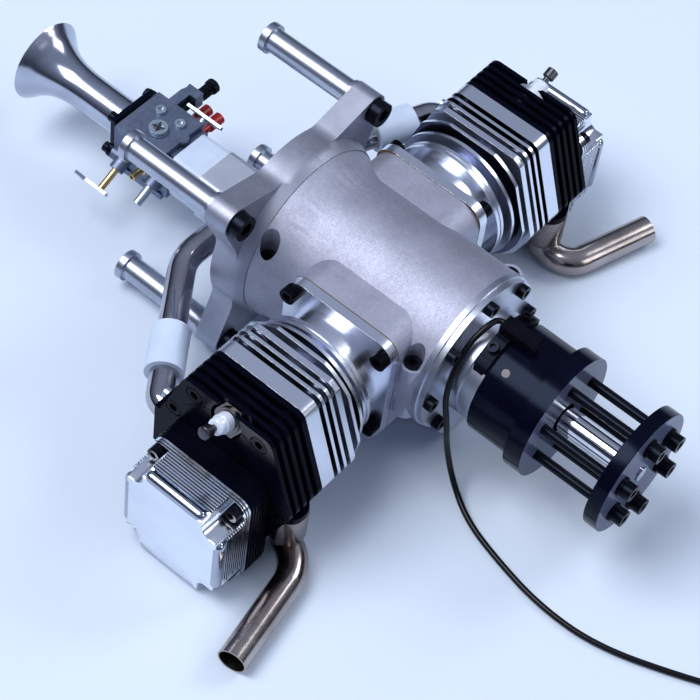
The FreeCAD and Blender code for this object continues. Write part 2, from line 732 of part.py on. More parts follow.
def wristPins():
    def one():
        return cyl((77.0, -18.0, 0), EY, 4.0, 36.0).cut(cyl((77.0, -19.0, 0), EY, 2.4, 38.0))
    return both(one)


# Induction tubes: the far end of each path shifts with the bank's own middle.
def intakePath(side):
    far = bankY(side) + flangeY
    return [(side * 14.6, teeY, portZ), (side * elbow[0], teeY, portZ),
            (side * flangeMidX, far + footRun, portZ), (side * flangeMidX, far + 0.1, portZ)]


def split(points, t):
    a, b = V(*points[1]), V(*points[2])
    return a + (b - a) * t


def upperTubes():
    out = []
    for side in (-1, 1):
        pts = intakePath(side)
        mid = split(pts, upperEnd)
        out.append(pipe([pts[0], pts[1], tuple(mid)], [elbow[1]], tubeOuter, tubeInner))
    return Part.makeCompound(out)


def lowerTubes():
    out = []
    for side in (-1, 1):
        pts = intakePath(side)
        mid = split(pts, lowerStart)
        end = V(*pts[3])
        out.append(pipe([tuple(mid), pts[2], tuple(end)], [footBend], tubeOuter, tubeInner))
    return Part.makeCompound(out)


def sleeves():
    out = []
    for side in (-1, 1):
        pts = intakePath(side)
        a, b = split(pts, sleeveFrom), split(pts, sleeveTo)
        d = (b - a).normalize()
        length = a.distanceToPoint(b)
        out.append(Part.makeCylinder(sleeveR, length, a, d).cut(
            Part.makeCylinder(tubeOuter + 0.05, length + 2, a - d, d)))
    return Part.makeCompound(out)


# Tail pipe: short socket in the head, then level and round to the outside.
def exhaustPipe(side):
    x, y = side * exhaustPort.x, bankY(side) + exhaustPort.y
    corner, end, bend = exhaustRun[side]
    pts = [(x, y, exhaustZ), (corner[0], corner[1], exhaustZ), (end[0], end[1], exhaustZ)]
    top = exhaustPort.z - 0.6
    outer = rod(pts, [bend], exhaustOuter).fuse(Part.makeSphere(exhaustOuter, V(x, y, exhaustZ)))
    outer = outer.fuse(cyl((x, y, exhaustZ), EZ, exhaustOuter, top - exhaustZ))
    inner = rod(pts, [bend], exhaustInner).fuse(Part.makeSphere(exhaustInner, V(x, y, exhaustZ)))
    inner = inner.fuse(cyl((x, y, exhaustZ), EZ, exhaustInner, top - exhaustZ + 1))
    return outer.cut(inner).removeSplitter()


# Induction block behind the mount plate with a branch to each side.
def manifold():
    body = Part.makeBox(28.0, manifoldRear - plateRear, 29.0, V(-14.0, plateRear, portZ - 14.5))
    body = body.makeFillet(4.0, [e for e in body.Edges if abs(e.Vertexes[0].Y - e.Vertexes[1].Y) > 1])
    for side in (-1, 1):
        boss = Part.makeCylinder(9.5, 1.5, V(side * 13.5, teeY, portZ), V(side, 0, 0))
        body = body.fuse(boss)
    body = body.cut(cyl((0, -48.0, portZ), EY, 8.0, 40.0))
    body = body.cut(cyl((-20.0, teeY, portZ), EX, tubeInner, 40.0))
    for sx in (1, -1):
        body = body.cut(Part.makeCylinder(tubeOuter + 0.1, 2.0, V(sx * 14.0, teeY, portZ), V(sx, 0, 0)))
    for x, z in longScrewAt:
        body = body.cut(cyl((x, manifoldRear - 9.0, portZ + z), EY, 1.5 + boltGap, 12))
    return body


def spacer():
    body = Part.makeBox(26.0, spacerRear - manifoldRear, 28.0, V(-13.0, manifoldRear, portZ - 14.0))
    body = body.makeFillet(4.0, [e for e in body.Edges if abs(e.Vertexes[0].Y - e.Vertexes[1].Y) > 1])
    body = body.cut(cyl((0, manifoldRear - 1, portZ), EY, 8.0, 30))
    for x, z in longScrewAt:
        body = body.cut(cyl((x, manifoldRear - 1, portZ + z), EY, 1.5 + boltGap, 30))
    return body


# The spindles cross the bore on a slant, up to the right.
def slanted(shape):
    return shape.rotate(V(0, 0, portZ), EY, -shaftRoll)


def carbBody():
    top = portZ + 14.5
    ear = box(14.0, 30.5, 27.0, 32.5, portZ + 6.0, top).fuse(box(25.0, 30.5, 22.8, 32.5, portZ + 6.0, top))
    parts = [
        box(-carbHalf, carbHalf, spacerRear, carbRear, portZ - 14.0, portZ + 11.0),
        box(-carbHalf - 1, carbHalf + 1, spacerRear + 4, carbRear - 2, portZ + 11.0, top),
        box(-carbHalf - 1, carbHalf + 1, spacerRear + 3, carbRear - 3, portZ - 17.0, portZ - 13.0),
        ear.removeSplitter(),
        box(carbHalf - 0.5, 23.0, 13.4, 29.0, portZ - 9.6, portZ - 1.4),
        slanted(cyl((-20.5, throttleY, portZ), EX, 4.2, 38.0)),
        slanted(cyl((-23.5, chokeY, portZ), EX, 4.0, 38.0)),
        cyl((1.0, 9.6, top - 1), EZ, 3.2, 1.8),
        cyl((-3.4, 22.0, top - 1), EZ, 5.6, 1.6)]
    for x, z in lugAt:
        parts.append(cyl((x, carbRear - 4.4, portZ + z), EY, lugR, 4.4))
    body = fuse(parts)
    body = body.cut(cyl((0, spacerRear - 1, portZ), EY, throatR, 50))
    body = body.cut(slanted(cyl((-40, throttleY, portZ), EX, shaftR + fit, 80)))
    body = body.cut(slanted(cyl((-40, chokeY, portZ), EX, chokeR + fit, 80)))
    for x, z in longScrewAt:
        body = body.cut(cyl((x, 0, portZ + z), EY, 1.5 + boltGap, 60))
    for x, z in lugAt:
        body = body.cut(cyl((x, carbRear - 3.8, portZ + z), EY, 1.5 + boltGap, 10))
    body = body.cut(cyl((16.0, idleY, idleZ), EX, 2.0 + fit, 20))
    for y, z in needles:
        body = body.cut(cyl((8.2, y, z), EX, 1.5 + fit, 20))
    for x, y in topScrews:
        body = body.cut(cyl((x, y, portZ + 8.5), EZ, 1.5 + boltGap, 10))
    return body.cut(cyl((-3.4, 22.0, portZ + 9.0), EZ, 1.5 + boltGap, 10))


# Butterfly with its spindle and its lever plate square to the spindle.
def throttle():
    y, z = throttleY, portZ
    disc = cyl((0, y - 0.5, z), EY, discR, 1.0)
    spindle = cyl((-31.0, y, z), EX, shaftR, 55.9)
    half = [(-13.0, 3.6), (-13.0, 6.5), (9.4, 6.5), (9.4, 4.0), (4.2, -3.0), (-4.2, -3.0)]
    pts = [V(23.0, y + a, z + b) for a, b in half]
    lever = Part.Face(Part.makePolygon(pts + [pts[0]])).extrude(V(1.5, 0, 0))
    return slanted(fuse([spindle, disc, lever]))


def choke():
    y, z = chokeY, portZ
    disc = cyl((0, y - 0.5, z), EY, discR, 1.0)
    spindle = cyl((-37.0, y, z), EX, chokeR, 54.5)
    half = [(-4.5, -1.6), (-4.5, 1.6), (9.0, 1.6), (14.0, 5.4), (15.0, 4.2), (11.4, 0.0), (15.0, -4.2),
            (14.0, -5.4), (9.0, -1.6)]
    pts = [V(-37.0, y + a, z + b) for a, b in half]
    lever = Part.Face(Part.makePolygon(pts + [pts[0]])).extrude(V(1.2, 0, 0))
    return slanted(fuse([spindle, disc, lever]))


def idleScrew():
    return fuse([cyl((17.0, idleY, idleZ), EX, 2.0, 24.0), cyl((38.4, idleY, idleZ), EX, 4.0, 3.6),
                 cyl((30.8, idleY, idleZ), EX, 3.3, 7.8)])


def needle(k):
    y, z = needles[k]
    return fuse([cyl((8.5, y, z), EX, 1.5, 24.0), cyl((29.4, y, z), EX, 3.2, 8.8),
                 cyl((23.3, y, z), EX, 2.4, 6.4)])


def fuelFitting():
    y, z = 20.5, portZ - 3.5
    return fuse([cyl((-23.5, y, z), EX, 1.9, 9.0), cyl((-16.6, y, z), EX, 2.8, 2.1)]).cut(
        cyl((-24, y, z), EX, 1.0, 10.0))


def stack():
    prof = [(0.0, 14.0), (3.0, 14.0), (3.0, 10.2), (36.0, 10.2), (46.0, 12.2), (54.0, 16.0), (59.0, 20.4),
            (62.0, bellR)]
    inner = [(62.0, mouthR), (58.0, 19.2), (53.0, 14.8), (45.5, 11.0), (36.0, 9.0), (0.0, 9.0)]
    pts = [V(r, carbRear + t, portZ) for t, r in prof + inner]
    face = Part.Face(Part.makePolygon(pts + [pts[0]]))
    body = face.revolve(V(0, 0, portZ), EY, 360)
    square = box(-carbHalf, carbHalf, carbRear, carbRear + 3, portZ - 14.0, portZ + 14.0)
    for x, z in lugAt:
        square = square.fuse(cyl((x, carbRear, portZ + z), EY, lugR, 3.0))
    square = square.cut(cyl((0, carbRear - 1, portZ), EY, 9.0, 10))
    body = body.common(box(-30, 30, carbRear, 200, -60, 30)).fuse(square)
    for x, z in longScrewAt + lugAt:
        body = body.cut(cyl((x, carbRear - 1, portZ + z), EY, 1.5 + boltGap, 6))
    return body.removeSplitter()


def longScrews():
    out = [screw((x, carbRear + 3.0, portZ + z), EY, 1.5, 64.5, 2.75, 3.0) for x, z in longScrewAt]
    out += [screw((x, carbRear + 3.0, portZ + z), EY, 1.5, 6.6, 2.75, 3.0) for x, z in lugAt]
    return Part.makeCompound(out)


# Hub with six tapped holes, its flange carries the propeller and its rim the timing magnet.
magnetDir = V(math.cos(magnetAngle), 0, math.sin(magnetAngle))


def hub():
    body = fuse([
        cyl((0, hubStep - 0.5, 0), EY, hubR, hubRear - hubStep + 0.5),
        cyl((0, hubFront, 0), EY, propR, hubStep - hubFront)])
    body = body.cut(cyl((0, hubFront - 1, 0), EY, journalR + 0.1, 40))
    for k in range(6):
        a = math.radians(30 + 60 * k)
        p = (propPcd * math.cos(a), hubFront - 1, propPcd * math.sin(a))
        body = body.cut(cyl(p, EY, propBolt + boltGap, 16.0))
    seat = magnetDir * (hubR - 3.1)
    return body.cut(Part.makeCylinder(2.1, 10, V(seat.x, magnetY, seat.z), magnetDir))


def magnet():
    seat = magnetDir * (hubR - 3.0)
    return Part.makeCylinder(2.0, 3.0, V(seat.x, magnetY, seat.z), magnetDir)


def washer():
    body = cyl((0, washerFront, 0), EY, propR, washerRear - washerFront)
    body = body.cut(cyl((0, washerFront - 1, 0), EY, 3.7, 20))
    for k in range(6):
        a = math.radians(30 + 60 * k)
        p = (propPcd * math.cos(a), washerFront - 1, propPcd * math.sin(a))
        body = body.cut(cyl(p, EY, propBolt + boltGap, 20))
    return body


def propScrews():
    bolts, rings = [], []
    for k in range(6):
        a = math.radians(30 + 60 * k)
        x, z = propPcd * math.cos(a), propPcd * math.sin(a)
        bolts.append(screw((x, washerFront - 2.0, z), V(0, -1, 0), propBolt, 56.0, 4.25, 5.0))
        rings.append(cyl((x, washerFront - 2.0, z), EY, 5.0, 2.0).cut(
            cyl((x, washerFront - 3.0, z), EY, propBolt + boltGap, 4.0)))
    return Part.makeCompound(bolts), Part.makeCompound(rings)


# Saddle over the nose with two screw pads, its arm carries the speed sensor above the hub.
def bracket():
    wide = armRear - noseFront
    body = cyl((0, noseFront, 0), EY, noseR + saddleT, wide)
    body = body.common(box(-20.0, 20.0, noseFront - 1, armRear + 1, noseR * 0.68, 60))
    for turn in (1, -1):
        pad = box(-5.4, 5.4, noseFront, armRear, noseR - 2, noseR + padReach)
        pad.rotate(V(0, 0, 0), EY, math.degrees(padTurn) * turn)
        body = body.fuse(pad)
    body = body.fuse(box(-armHalf, armHalf, armFront, armRear, armLow - 2.5, armTop))
    body = body.cut(cyl((0, noseFront - 40, 0), EY, noseR + fit, 80))
    body = body.cut(cyl((0, noseFront - 1, 0), EY, noseR + 1.4, 2.3))
    body = body.cut(box(-30, 30, armFront - 1, hubRear + 0.4, 0, armLow))
    for turn in (1, -1):
        d = padDir(turn)
        body = body.cut(Part.makeCylinder(1.5 + boltGap, 40, V(0, bracketY, 0) + d * 20.0, d))
    return body.removeSplitter()


def bracketScrews():
    out = []
    for turn in (1, -1):
        d = padDir(turn)
        out.append(screw(V(0, bracketY, 0) + d * (noseR + padReach), d, 1.5, 9.0, 2.75, 3.0))
    return out


def sensor():
    return box(-armHalf + 0.6, armHalf - 0.6, armFront + 0.5, armFront + 8.5, hubR + 0.8, armLow)


def smallScrews():
    out = [screw((-3.4, 22.0, portZ + 15.1), EZ, 1.5, 6.0, 4.8, 2.0)]
    for side in (-1, 1):
        for sz in (1, -1):
            p = (side * flangeMidX, bankY(side) + flangeY, portZ + sz * flangeBolt)
            out.append(screw(p, EY, 1.5, 8.0, 2.75, 3.0))
    for x, y in topScrews:
        out.append(screw((x, y, portZ + 14.5), EZ, 1.5, 5.5, 2.75, 2.0))
    return Part.makeCompound(out)


# Sensor lead: out of the sensor, over the nose and down to the ground in front of the left bank.
groundZ = exhaustZ - exhaustOuter
layZ = groundZ + cordR
cordPoints = [(0.0, armRear, 34.4), (0.0, -184.6, 34.4), (-6.6, -183.2, 34.1), (-17.9, -181.0, 27.9),
              (-31.4, -182.5, 6.6), (-34.0, -189.0, -12.0), (-31.0, -189.5, -31.0), (-33.0, -198.0, -50.0),
              (-42.0, -215.0, layZ), (-49.0, -238.0, layZ), (-55.0, -268.0, layZ), (-54.0, -300.0, layZ),
              (-40.0, -338.0, layZ), (-22.0, -375.0, layZ)]


def cordRadii():
    pts = [V(*p) for p in cordPoints]
    out = []
    for i in range(1, len(pts) - 1):
        a, b = pts[i] - pts[i - 1], pts[i + 1] - pts[i]
        turn = a.getAngle(b)
        out.append(0.45 * min(a.Length, b.Length) / math.tan(turn / 2))
    return out


def cable():
    radii = cordRadii()
    print("cable bend radii", [round(r, 1) for r in radii])
    body = rod(cordPoints, radii, cordR)
    wire = path(cordPoints, radii)
    straight = math.pi * cordR ** 2 * wire.Length
    print("cable volume over section times length", round(body.Volume / straight, 4))
    return body


# The put away end: a flat ring that the lead meets on a tangent, with the plug inside it.
def coilFrame():
    end = V(*cordPoints[-1])
    along = (end - V(*cordPoints[-2])).normalize()
    side = V(-along.y, along.x, 0)
    centre = end + along * coilLead + side * (coilOuter - cordR)
    return end, along, side, V(centre.x, centre.y, 0)


def coil():
    end, along, side, c = coilFrame()
    low, high = groundZ + coilTrim, 2 * (cordR - coilTrim)
    ring = cyl((c.x, c.y, low), EZ, coilOuter - coilTrim, high)
    ring = ring.cut(cyl((c.x, c.y, low - 1), EZ, coilInner + coilTrim, high + 2))
    lead = Part.makeCylinder(cordR, coilLead, end, along)
    plugEnd = V(c.x, c.y, layZ) + along * (plugLong / 2)
    return fuse([ring, lead, Part.makeCylinder(cordR, coilInner - plugLong / 2 + cordR, plugEnd, along)])


def connector():
    end, along, side, c = coilFrame()
    a, b = along * (plugLong / 2), side * (plugWide / 2)
    c = V(c.x, c.y, groundZ)
    pts = [c + a + b, c - a + b, c - a - b, c + a - b]
    return Part.Face(Part.makePolygon(pts + [pts[0]])).extrude(V(0, 0, plugHigh))


def build():
    os.makedirs("parts", exist_ok=True)
    upper, lower = crankcase()
    save("crankcase_upper", upper)
    save("crankcase_lower", lower)
    upright = [screw((x, y, 13.0), EZ, splitBolt, 26.0, 4.25, 5.0) for x, y in splitBolts]
    under = screw((underBolt[0], underBolt[1], -13.0), V(0, 0, -1), splitBolt, 26.0, 4.25, 5.0)
    save("case_bolts", Part.makeCompound(upright + [under]))
    save("mount_plate", mountPlate())
    save("mount_standoffs", Part.makeCompound([standoff(sx * standX, sz * standZ)
                                               for sx in (1, -1) for sz in (1, -1)]))
    save("standoff_bolts", Part.makeCompound([
        screw((sx * standX, plateFront + headSink, sz * standZ), V(0, -1, 0), mountBolt, 35.0, 6.5, 8.0)
        for sx in (1, -1) for sz in (1, -1)]))
    save("plate_bolts", Part.makeCompound([
        screw((x, plateRear - 5.2, z), EY, splitBolt, plateBoltLength, 4.25, 5.0) for x, z in plateBolts]))
    save("front_cover", frontCover())
    save("front_cover_bolts", Part.makeCompound([
        screw((x, ringFront, z), V(0, -1, 0), 2.0, 8.4, 3.5, 4.0) for x, z in coverPlaces()] + bracketScrews()))
    save("front_bearing", bearing(noseFront + 2.0, 8.0))
    save("main_bearings", Part.makeCompound([bearing(-152.0, 7.0), bearing(-95.0, 8.0)]))
    save("crankshaft", crankshaft())
    save("crank_gear", gear(0.0, gearR, 16, journalR + 0.02, 0.0))
    save("cam_gear", gear(camZ, camGearR, 32, camJournal + 0.02, math.pi / 32))
    save("camshaft", camshaft())
    save("lifters", lifters())
    save("pushrods", pushrods())
    save("pushrod_tubes", pushTubes())
    save("rocker_arms", rockers())
    save("valves", valves())
    bolts, rings = propScrews()
    save("prop_hub", hub())
    save("prop_washer", washer())
    save("prop_bolts", bolts)
    save("prop_bolt_washers", rings)
    save("trigger_magnet", magnet())
    save("sensor_bracket", bracket())
    save("hall_sensor", sensor())
    save("small_screws", smallScrews())
    save("sensor_cable", cable())
    save("cable_coil", coil())
    save("cable_connector", connector())
    one = cylinder()
    save("cylinder_left", bank(one, -1))
    save("cylinder_right", bank(one, 1))
    save("base_gaskets", both(baseGasket))
    save("cylinder_bolts", cylinderBolts())
    one = head()
    save("head_left", bank(one, -1))
    save("head_right", bank(one, 1))
    one = rockerCover()
    save("rocker_cover_left", bank(one, -1))
    save("rocker_cover_right", bank(one, 1))
    save("cover_bolts", coverBolts())
    save("plug_shells", both(plugShell))
    save("plug_insulators", both(plugInsulator))
    save("exhaust_pipe_left", exhaustPipe(-1))
    save("exhaust_pipe_right", exhaustPipe(1))
    save("intake_tubes_upper", upperTubes())
    save("intake_tubes_lower", lowerTubes())
    save("intake_sleeves", sleeves())
    save("pistons", pistons())
    save("wrist_pins", wristPins())
    save("intake_manifold", manifold())
    save("carb_spacer", spacer())
    save("carburettor_body", carbBody())
    save("velocity_stack", stack())
    save("throttle_shaft", throttle())
    save("choke_shaft", choke())
    save("idle_screw", idleScrew())
    save("needle_low", needle(0))
    save("needle_high", needle(1))
    save("fuel_fitting", fuelFitting())
    save("carb_screws", longScrews())


build()
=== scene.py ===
import bpy
import bmesh
import json
import math
import numpy as np
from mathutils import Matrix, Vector


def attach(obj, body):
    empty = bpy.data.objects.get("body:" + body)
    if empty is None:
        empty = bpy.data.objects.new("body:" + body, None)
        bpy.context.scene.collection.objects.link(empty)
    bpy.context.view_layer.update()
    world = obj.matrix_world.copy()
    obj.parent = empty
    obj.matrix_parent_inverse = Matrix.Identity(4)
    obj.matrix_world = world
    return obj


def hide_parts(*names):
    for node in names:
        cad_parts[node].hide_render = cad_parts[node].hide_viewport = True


# Flat twin engine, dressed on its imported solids. Metres, +Z up, propeller end at -Y.

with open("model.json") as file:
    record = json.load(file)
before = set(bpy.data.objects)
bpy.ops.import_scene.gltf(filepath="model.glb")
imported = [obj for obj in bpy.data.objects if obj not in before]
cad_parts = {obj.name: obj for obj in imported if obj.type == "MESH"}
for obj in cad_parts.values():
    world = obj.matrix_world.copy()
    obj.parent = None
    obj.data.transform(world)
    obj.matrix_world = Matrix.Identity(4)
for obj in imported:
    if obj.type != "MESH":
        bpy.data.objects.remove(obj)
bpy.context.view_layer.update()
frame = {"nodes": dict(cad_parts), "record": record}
nodes = frame["nodes"]
scene = bpy.context.scene
scene.view_settings.view_transform = "Standard"
print("frame loaded:", len(nodes), "nodes")

# the camera stands where the photograph was taken from
cameraSettings = {
    "place": (-0.601228, -0.497041, 0.898965), "turn": (36.3138, -5.4532, -49.7012),
    "lens": 123.97, "sensor": 36.0, "farthest": 20.0}
cameraData = bpy.data.cameras.new("photoCamera")
camera = bpy.data.objects.new("photoCamera", cameraData)
scene.collection.objects.link(camera)
camera.location = cameraSettings["place"]
camera.rotation_euler = [math.radians(a) for a in cameraSettings["turn"]]
cameraData.lens = cameraSettings["lens"]
cameraData.sensor_width = cameraSettings["sensor"]
cameraData.clip_end = cameraSettings["farthest"]
scene.camera = camera

# distances under which points merge and edges vanish, the angle that stays sharp,
# and the share past which two directions count as one
meshSettings = {"merge": 1e-6, "vanish": 1e-7, "sharp": 35.0, "sameWay": 0.9}


def linkMesh(name, verts, faces, sharp):
    # a mesh object from an (n, 3) array and an (m, 4) array, doubles merged, normals outwards
    s = meshSettings
    mesh = bpy.data.meshes.new(name)
    mesh.from_pydata(np.asarray(verts, float).tolist(), [], np.asarray(faces, int).tolist())
    work = bmesh.new()
    work.from_mesh(mesh)
    bmesh.ops.remove_doubles(work, verts=work.verts, dist=s["merge"])
    bmesh.ops.dissolve_degenerate(work, edges=work.edges, dist=s["vanish"])
    bmesh.ops.recalc_face_normals(work, faces=work.faces)
    work.to_mesh(mesh)
    work.free()
    mesh.shade_smooth()
    mesh.set_sharp_from_angle(angle=math.radians(sharp))
    piece = bpy.data.objects.new(name, mesh)
    scene.collection.objects.link(piece)
    return piece


def surface(name, grid, sharp=meshSettings["sharp"]):
    # grid[i, j] is a point: i runs along the profile, j goes round and closes on itself
    rows, cols = grid.shape[:2]
    i, j = np.meshgrid(np.arange(rows - 1), np.arange(cols), indexing="ij")
    k = (j + 1) % cols
    quads = np.stack([i * cols + j, i * cols + k, (i + 1) * cols + k, (i + 1) * cols + j], -1)
    return linkMesh(name, grid.reshape(-1, 3), quads.reshape(-1, 4), sharp)


def aroundOnce(steps):
    # angles evenly round a full turn, the last one short of the first
    return np.linspace(0.0, 2.0 * math.pi, steps, endpoint=False)


def squareTo(way, usual):
    # a direction square to way, from its cross product with the usual one, or with X beside it
    same = abs(np.dot(way, usual)) >= meshSettings["sameWay"]
    return np.cross(way, (1.0, 0.0, 0.0) if same else usual)


def lathe(name, profile, origin, axis, steps=64, ribs=0, ribHeight=0.0):
    # point(t, a) = origin + axis * along(t) + radius(t) * (cos a * u + sin a * v),
    # with shallow ribs round it: radius * (1 + ribHeight * cos(ribs * a))
    profile = np.asarray(profile, float)
    axis = np.asarray(axis, float) / np.linalg.norm(axis)
    u = squareTo(axis, (0.0, 1.0, 0.0))
    u /= np.linalg.norm(u)
    v = np.cross(axis, u)
    a = aroundOnce(steps)
    ring = np.cos(a)[:, None] * u + np.sin(a)[:, None] * v
    radius = profile[:, 1:] * (1.0 + ribHeight * np.cos(ribs * a))
    grid = np.asarray(origin) + profile[:, 0][:, None, None] * axis + radius[..., None] * ring
    return surface(name, grid)


def smoothLine(points, per=6):
    # cubic through every point:
    # p(t) = 0.5 * (2b + (c - a)t + (2a - 5b + 4c - d)tt + (3b - a - 3c + d)ttt)
    p = np.asarray(points, float)
    p = np.vstack([2 * p[0] - p[1], p, 2 * p[-1] - p[-2]])
    t = np.linspace(0.0, 1.0, per, endpoint=False)[:, None]
    runs = []
    for a, b, c, d in zip(p[:-3], p[1:-2], p[2:-1], p[3:]):
        runs.append(0.5 * (2 * b + (c - a) * t + (2 * a - 5 * b + 4 * c - d) * t ** 2
                           + (3 * b - a - 3 * c + d) * t ** 3))
    return np.vstack(runs + [p[-2][None]])


def carry(name, line, radius, steps, sharp=50.0):
    # a round section carried along a line on frames that don't twist, ends closed to a point
    line = np.asarray(line, float)
    way = np.gradient(line, axis=0)
    way /= np.linalg.norm(way, axis=1)[:, None]
    side = squareTo(way[0], (0.0, 0.0, 1.0))
    sides = []
    for w in way:
        side = side - w * np.dot(side, w)
        side /= np.linalg.norm(side)
        sides.append(side)
    sides = np.array(sides)
    others = np.cross(way, sides)
    a = aroundOnce(steps)[None, :, None]
    rings = line[:, None] + radius * (np.cos(a) * sides[:, None] + np.sin(a) * others[:, None])
    first = np.repeat(line[:1, None], steps, 1)
    last = np.repeat(line[-1:, None], steps, 1)
    return surface(name, np.concatenate([first, rings, last]), sharp)


def newMaterial(name):
    # an empty principled material with its node tree, its shader and its coordinates
    made = bpy.data.materials.new(name)
    made.use_nodes = True
    tree = made.node_tree
    shader = tree.nodes["Principled BSDF"]
    place = tree.nodes.new("ShaderNodeTexCoord")
    return made, tree, shader, place


def noise(tree, place, scale, detail=3.0, stretch=None):
    # fractal noise on object coordinates, stretched by a mapping where asked
    node = tree.nodes.new("ShaderNodeTexNoise")
    node.inputs["Scale"].default_value = scale
    node.inputs["Detail"].default_value = detail
    source = place.outputs["Object"]
    if stretch:
        mapping = tree.nodes.new("ShaderNodeMapping")
        mapping.inputs["Scale"].default_value = stretch
        tree.links.new(source, mapping.inputs["Vector"])
        source = mapping.outputs["Vector"]
    tree.links.new(source, node.inputs["Vector"])
    return node.outputs["Fac"]


def spread(tree, value, low, high, start=0.3, end=0.7):
    # value from start to end becomes a number from low to high
    node = tree.nodes.new("ShaderNodeMapRange")
    node.inputs["From Min"].default_value = start
    node.inputs["From Max"].default_value = end
    node.inputs["To Min"].default_value = low
    node.inputs["To Max"].default_value = high
    tree.links.new(value, node.inputs["Value"])
    return node.outputs["Result"]


def tones(tree, value, dark, light, start=0.3, end=0.7):
    # value from start to end becomes a colour from dark to light
    node = tree.nodes.new("ShaderNodeValToRGB")
    first, last = node.color_ramp.elements
    first.position, last.position = start, end
    first.color, last.color = (*dark, 1.0), (*light, 1.0)
    tree.links.new(value, node.inputs["Fac"])
    return node.outputs["Color"]


def reckon(tree, operation, value, *others):
    # one operation on a value, with others that are sockets or plain numbers
    node = tree.nodes.new("ShaderNodeMath")
    node.operation = operation
    tree.links.new(value, node.inputs[0])
    for number, other in enumerate(others, 1):
        if isinstance(other, float):
            node.inputs[number].default_value = other
        else:
            tree.links.new(other, node.inputs[number])
    return node.outputs["Value"]


def axes(tree, vector):
    # the X, Y and Z of a vector
    node = tree.nodes.new("ShaderNodeSeparateXYZ")
    tree.links.new(vector, node.inputs["Vector"])
    return node.outputs


def bump(tree, shader, height, strength, distance):
    # small heights in the shading alone
    node = tree.nodes.new("ShaderNodeBump")
    node.inputs["Strength"].default_value = strength
    node.inputs["Distance"].default_value = distance
    tree.links.new(height, node.inputs["Height"])
    tree.links.new(node.outputs["Normal"], shader.inputs["Normal"])


metalSettings = {"drift": 60.0, "detail": 4.0, "strength": 0.7}


def metal(name, dark, light, rough, grain=900.0, stretch=None, bumps=0.0):
    # metal whose colour drifts between two tones and whose roughness follows a finer grain
    s = metalSettings
    made, tree, shader, place = newMaterial(name)
    shader.inputs["Metallic"].default_value = 1.0
    drift = noise(tree, place, s["drift"], s["detail"])
    tree.links.new(tones(tree, drift, dark, light), shader.inputs["Base Color"])
    fine = noise(tree, place, grain, s["detail"], stretch)
    tree.links.new(spread(tree, fine, *rough), shader.inputs["Roughness"])
    if bumps:
        bump(tree, shader, fine, s["strength"], bumps)
    return made


castSettings = {
    "mottle": 420.0, "mottleDetail": 5.0, "mottleShare": 0.45, "drift": 70.0, "driftShare": 0.55,
    "from": 0.34, "to": 0.66, "sand": 1500.0, "sandDetail": 4.0, "strength": 0.8}


def castMetal(name, dark, light, rough, bumps):
    # cast skin: tone = mottle * its share + drift * its share, and a sandy bump over it
    s = castSettings
    made, tree, shader, place = newMaterial(name)
    shader.inputs["Metallic"].default_value = 1.0
    mottle = noise(tree, place, s["mottle"], s["mottleDetail"])
    drift = spread(tree, noise(tree, place, s["drift"]), 0.0, s["driftShare"], 0.0, 1.0)
    tone = reckon(tree, "MULTIPLY_ADD", mottle, s["mottleShare"], drift)
    tree.links.new(tones(tree, tone, dark, light, s["from"], s["to"]), shader.inputs["Base Color"])
    sand = noise(tree, place, s["sand"], s["sandDetail"])
    tree.links.new(spread(tree, sand, *rough), shader.inputs["Roughness"])
    bump(tree, shader, sand, s["strength"], bumps)
    return made


# |x| where each gap between the cylinder's fins starts and ends, with its share of the painted shade tone
finSettings = {
    "span": (0.060, 0.100), "grain": 500.0, "stretch": (10, 1, 1), "gaps": [
        (0.06555, 0.0689, 5.0), (0.07075, 0.0741, 3.6), (0.07595, 0.0793, 2.0),
        (0.08255, 0.08515, 0.8), (0.08695, 0.08955, 0.8), (0.09135, 0.09395, 0.8)]}


def finnedMetal(name, light, gapShade, rough):
    # bright turned metal with painted shade between its fins: |x| picks the tone from the list of
    # gaps
    s = finSettings
    low, high = s["span"]
    made, tree, shader, place = newMaterial(name)
    shader.inputs["Metallic"].default_value = 1.0
    away = reckon(tree, "ABSOLUTE", axes(tree, place.outputs["Object"])["X"])
    bands = tree.nodes.new("ShaderNodeValToRGB")
    ramp = bands.color_ramp
    ramp.interpolation = "CONSTANT"
    ramp.elements[0].color = (*light, 1.0)
    ramp.elements[1].position = 1.0
    ramp.elements[1].color = (*light, 1.0)
    # each gap between the fins gets the painted shade, scaled by its share
    for start, end, share in s["gaps"]:
        for at, tone in ((start, [part * share for part in gapShade]), (end, light)):
            stop = ramp.elements.new((at - low) / (high - low))
            stop.color = (*tone, 1.0)
    tree.links.new(spread(tree, away, 0.0, 1.0, low, high), bands.inputs["Fac"])
    tree.links.new(bands.outputs["Color"], shader.inputs["Base Color"])
    fine = noise(tree, place, s["grain"], stretch=s["stretch"])
    tree.links.new(spread(tree, fine, *rough), shader.inputs["Roughness"])
    return made


plasticSettings = {"drift": 80.0, "detail": 2.0, "strength": 0.5}


def plastic(name, dark, light, rough, grain=500.0, bumps=0.0, coat=0.0,
            shine=0.5, tint=(1.0, 1.0, 1.0), ior=1.5):
    # skin that isn't metal: colour drifts between two tones, roughness follows a finer grain
    s = plasticSettings
    made, tree, shader, place = newMaterial(name)
    drift = noise(tree, place, s["drift"], s["detail"])
    tree.links.new(tones(tree, drift, dark, light), shader.inputs["Base Color"])
    fine = noise(tree, place, grain)
    tree.links.new(spread(tree, fine, *rough), shader.inputs["Roughness"])
    shader.inputs["Coat Weight"].default_value = coat
    shader.inputs["Specular IOR Level"].default_value = shine
    shader.inputs["Specular Tint"].default_value = (*tint, 1.0)
    shader.inputs["IOR"].default_value = ior
    if bumps:
        bump(tree, shader, fine, s["strength"], bumps)
    return made


# y of the hub's turned end faces, how far from it a face may lie, and the painted reflection tone
# there
hubReflectionSettings = {"planes": (-0.2290, -0.2733), "within": 0.00003, "tone": (0.10, 0.112, 0.19)}


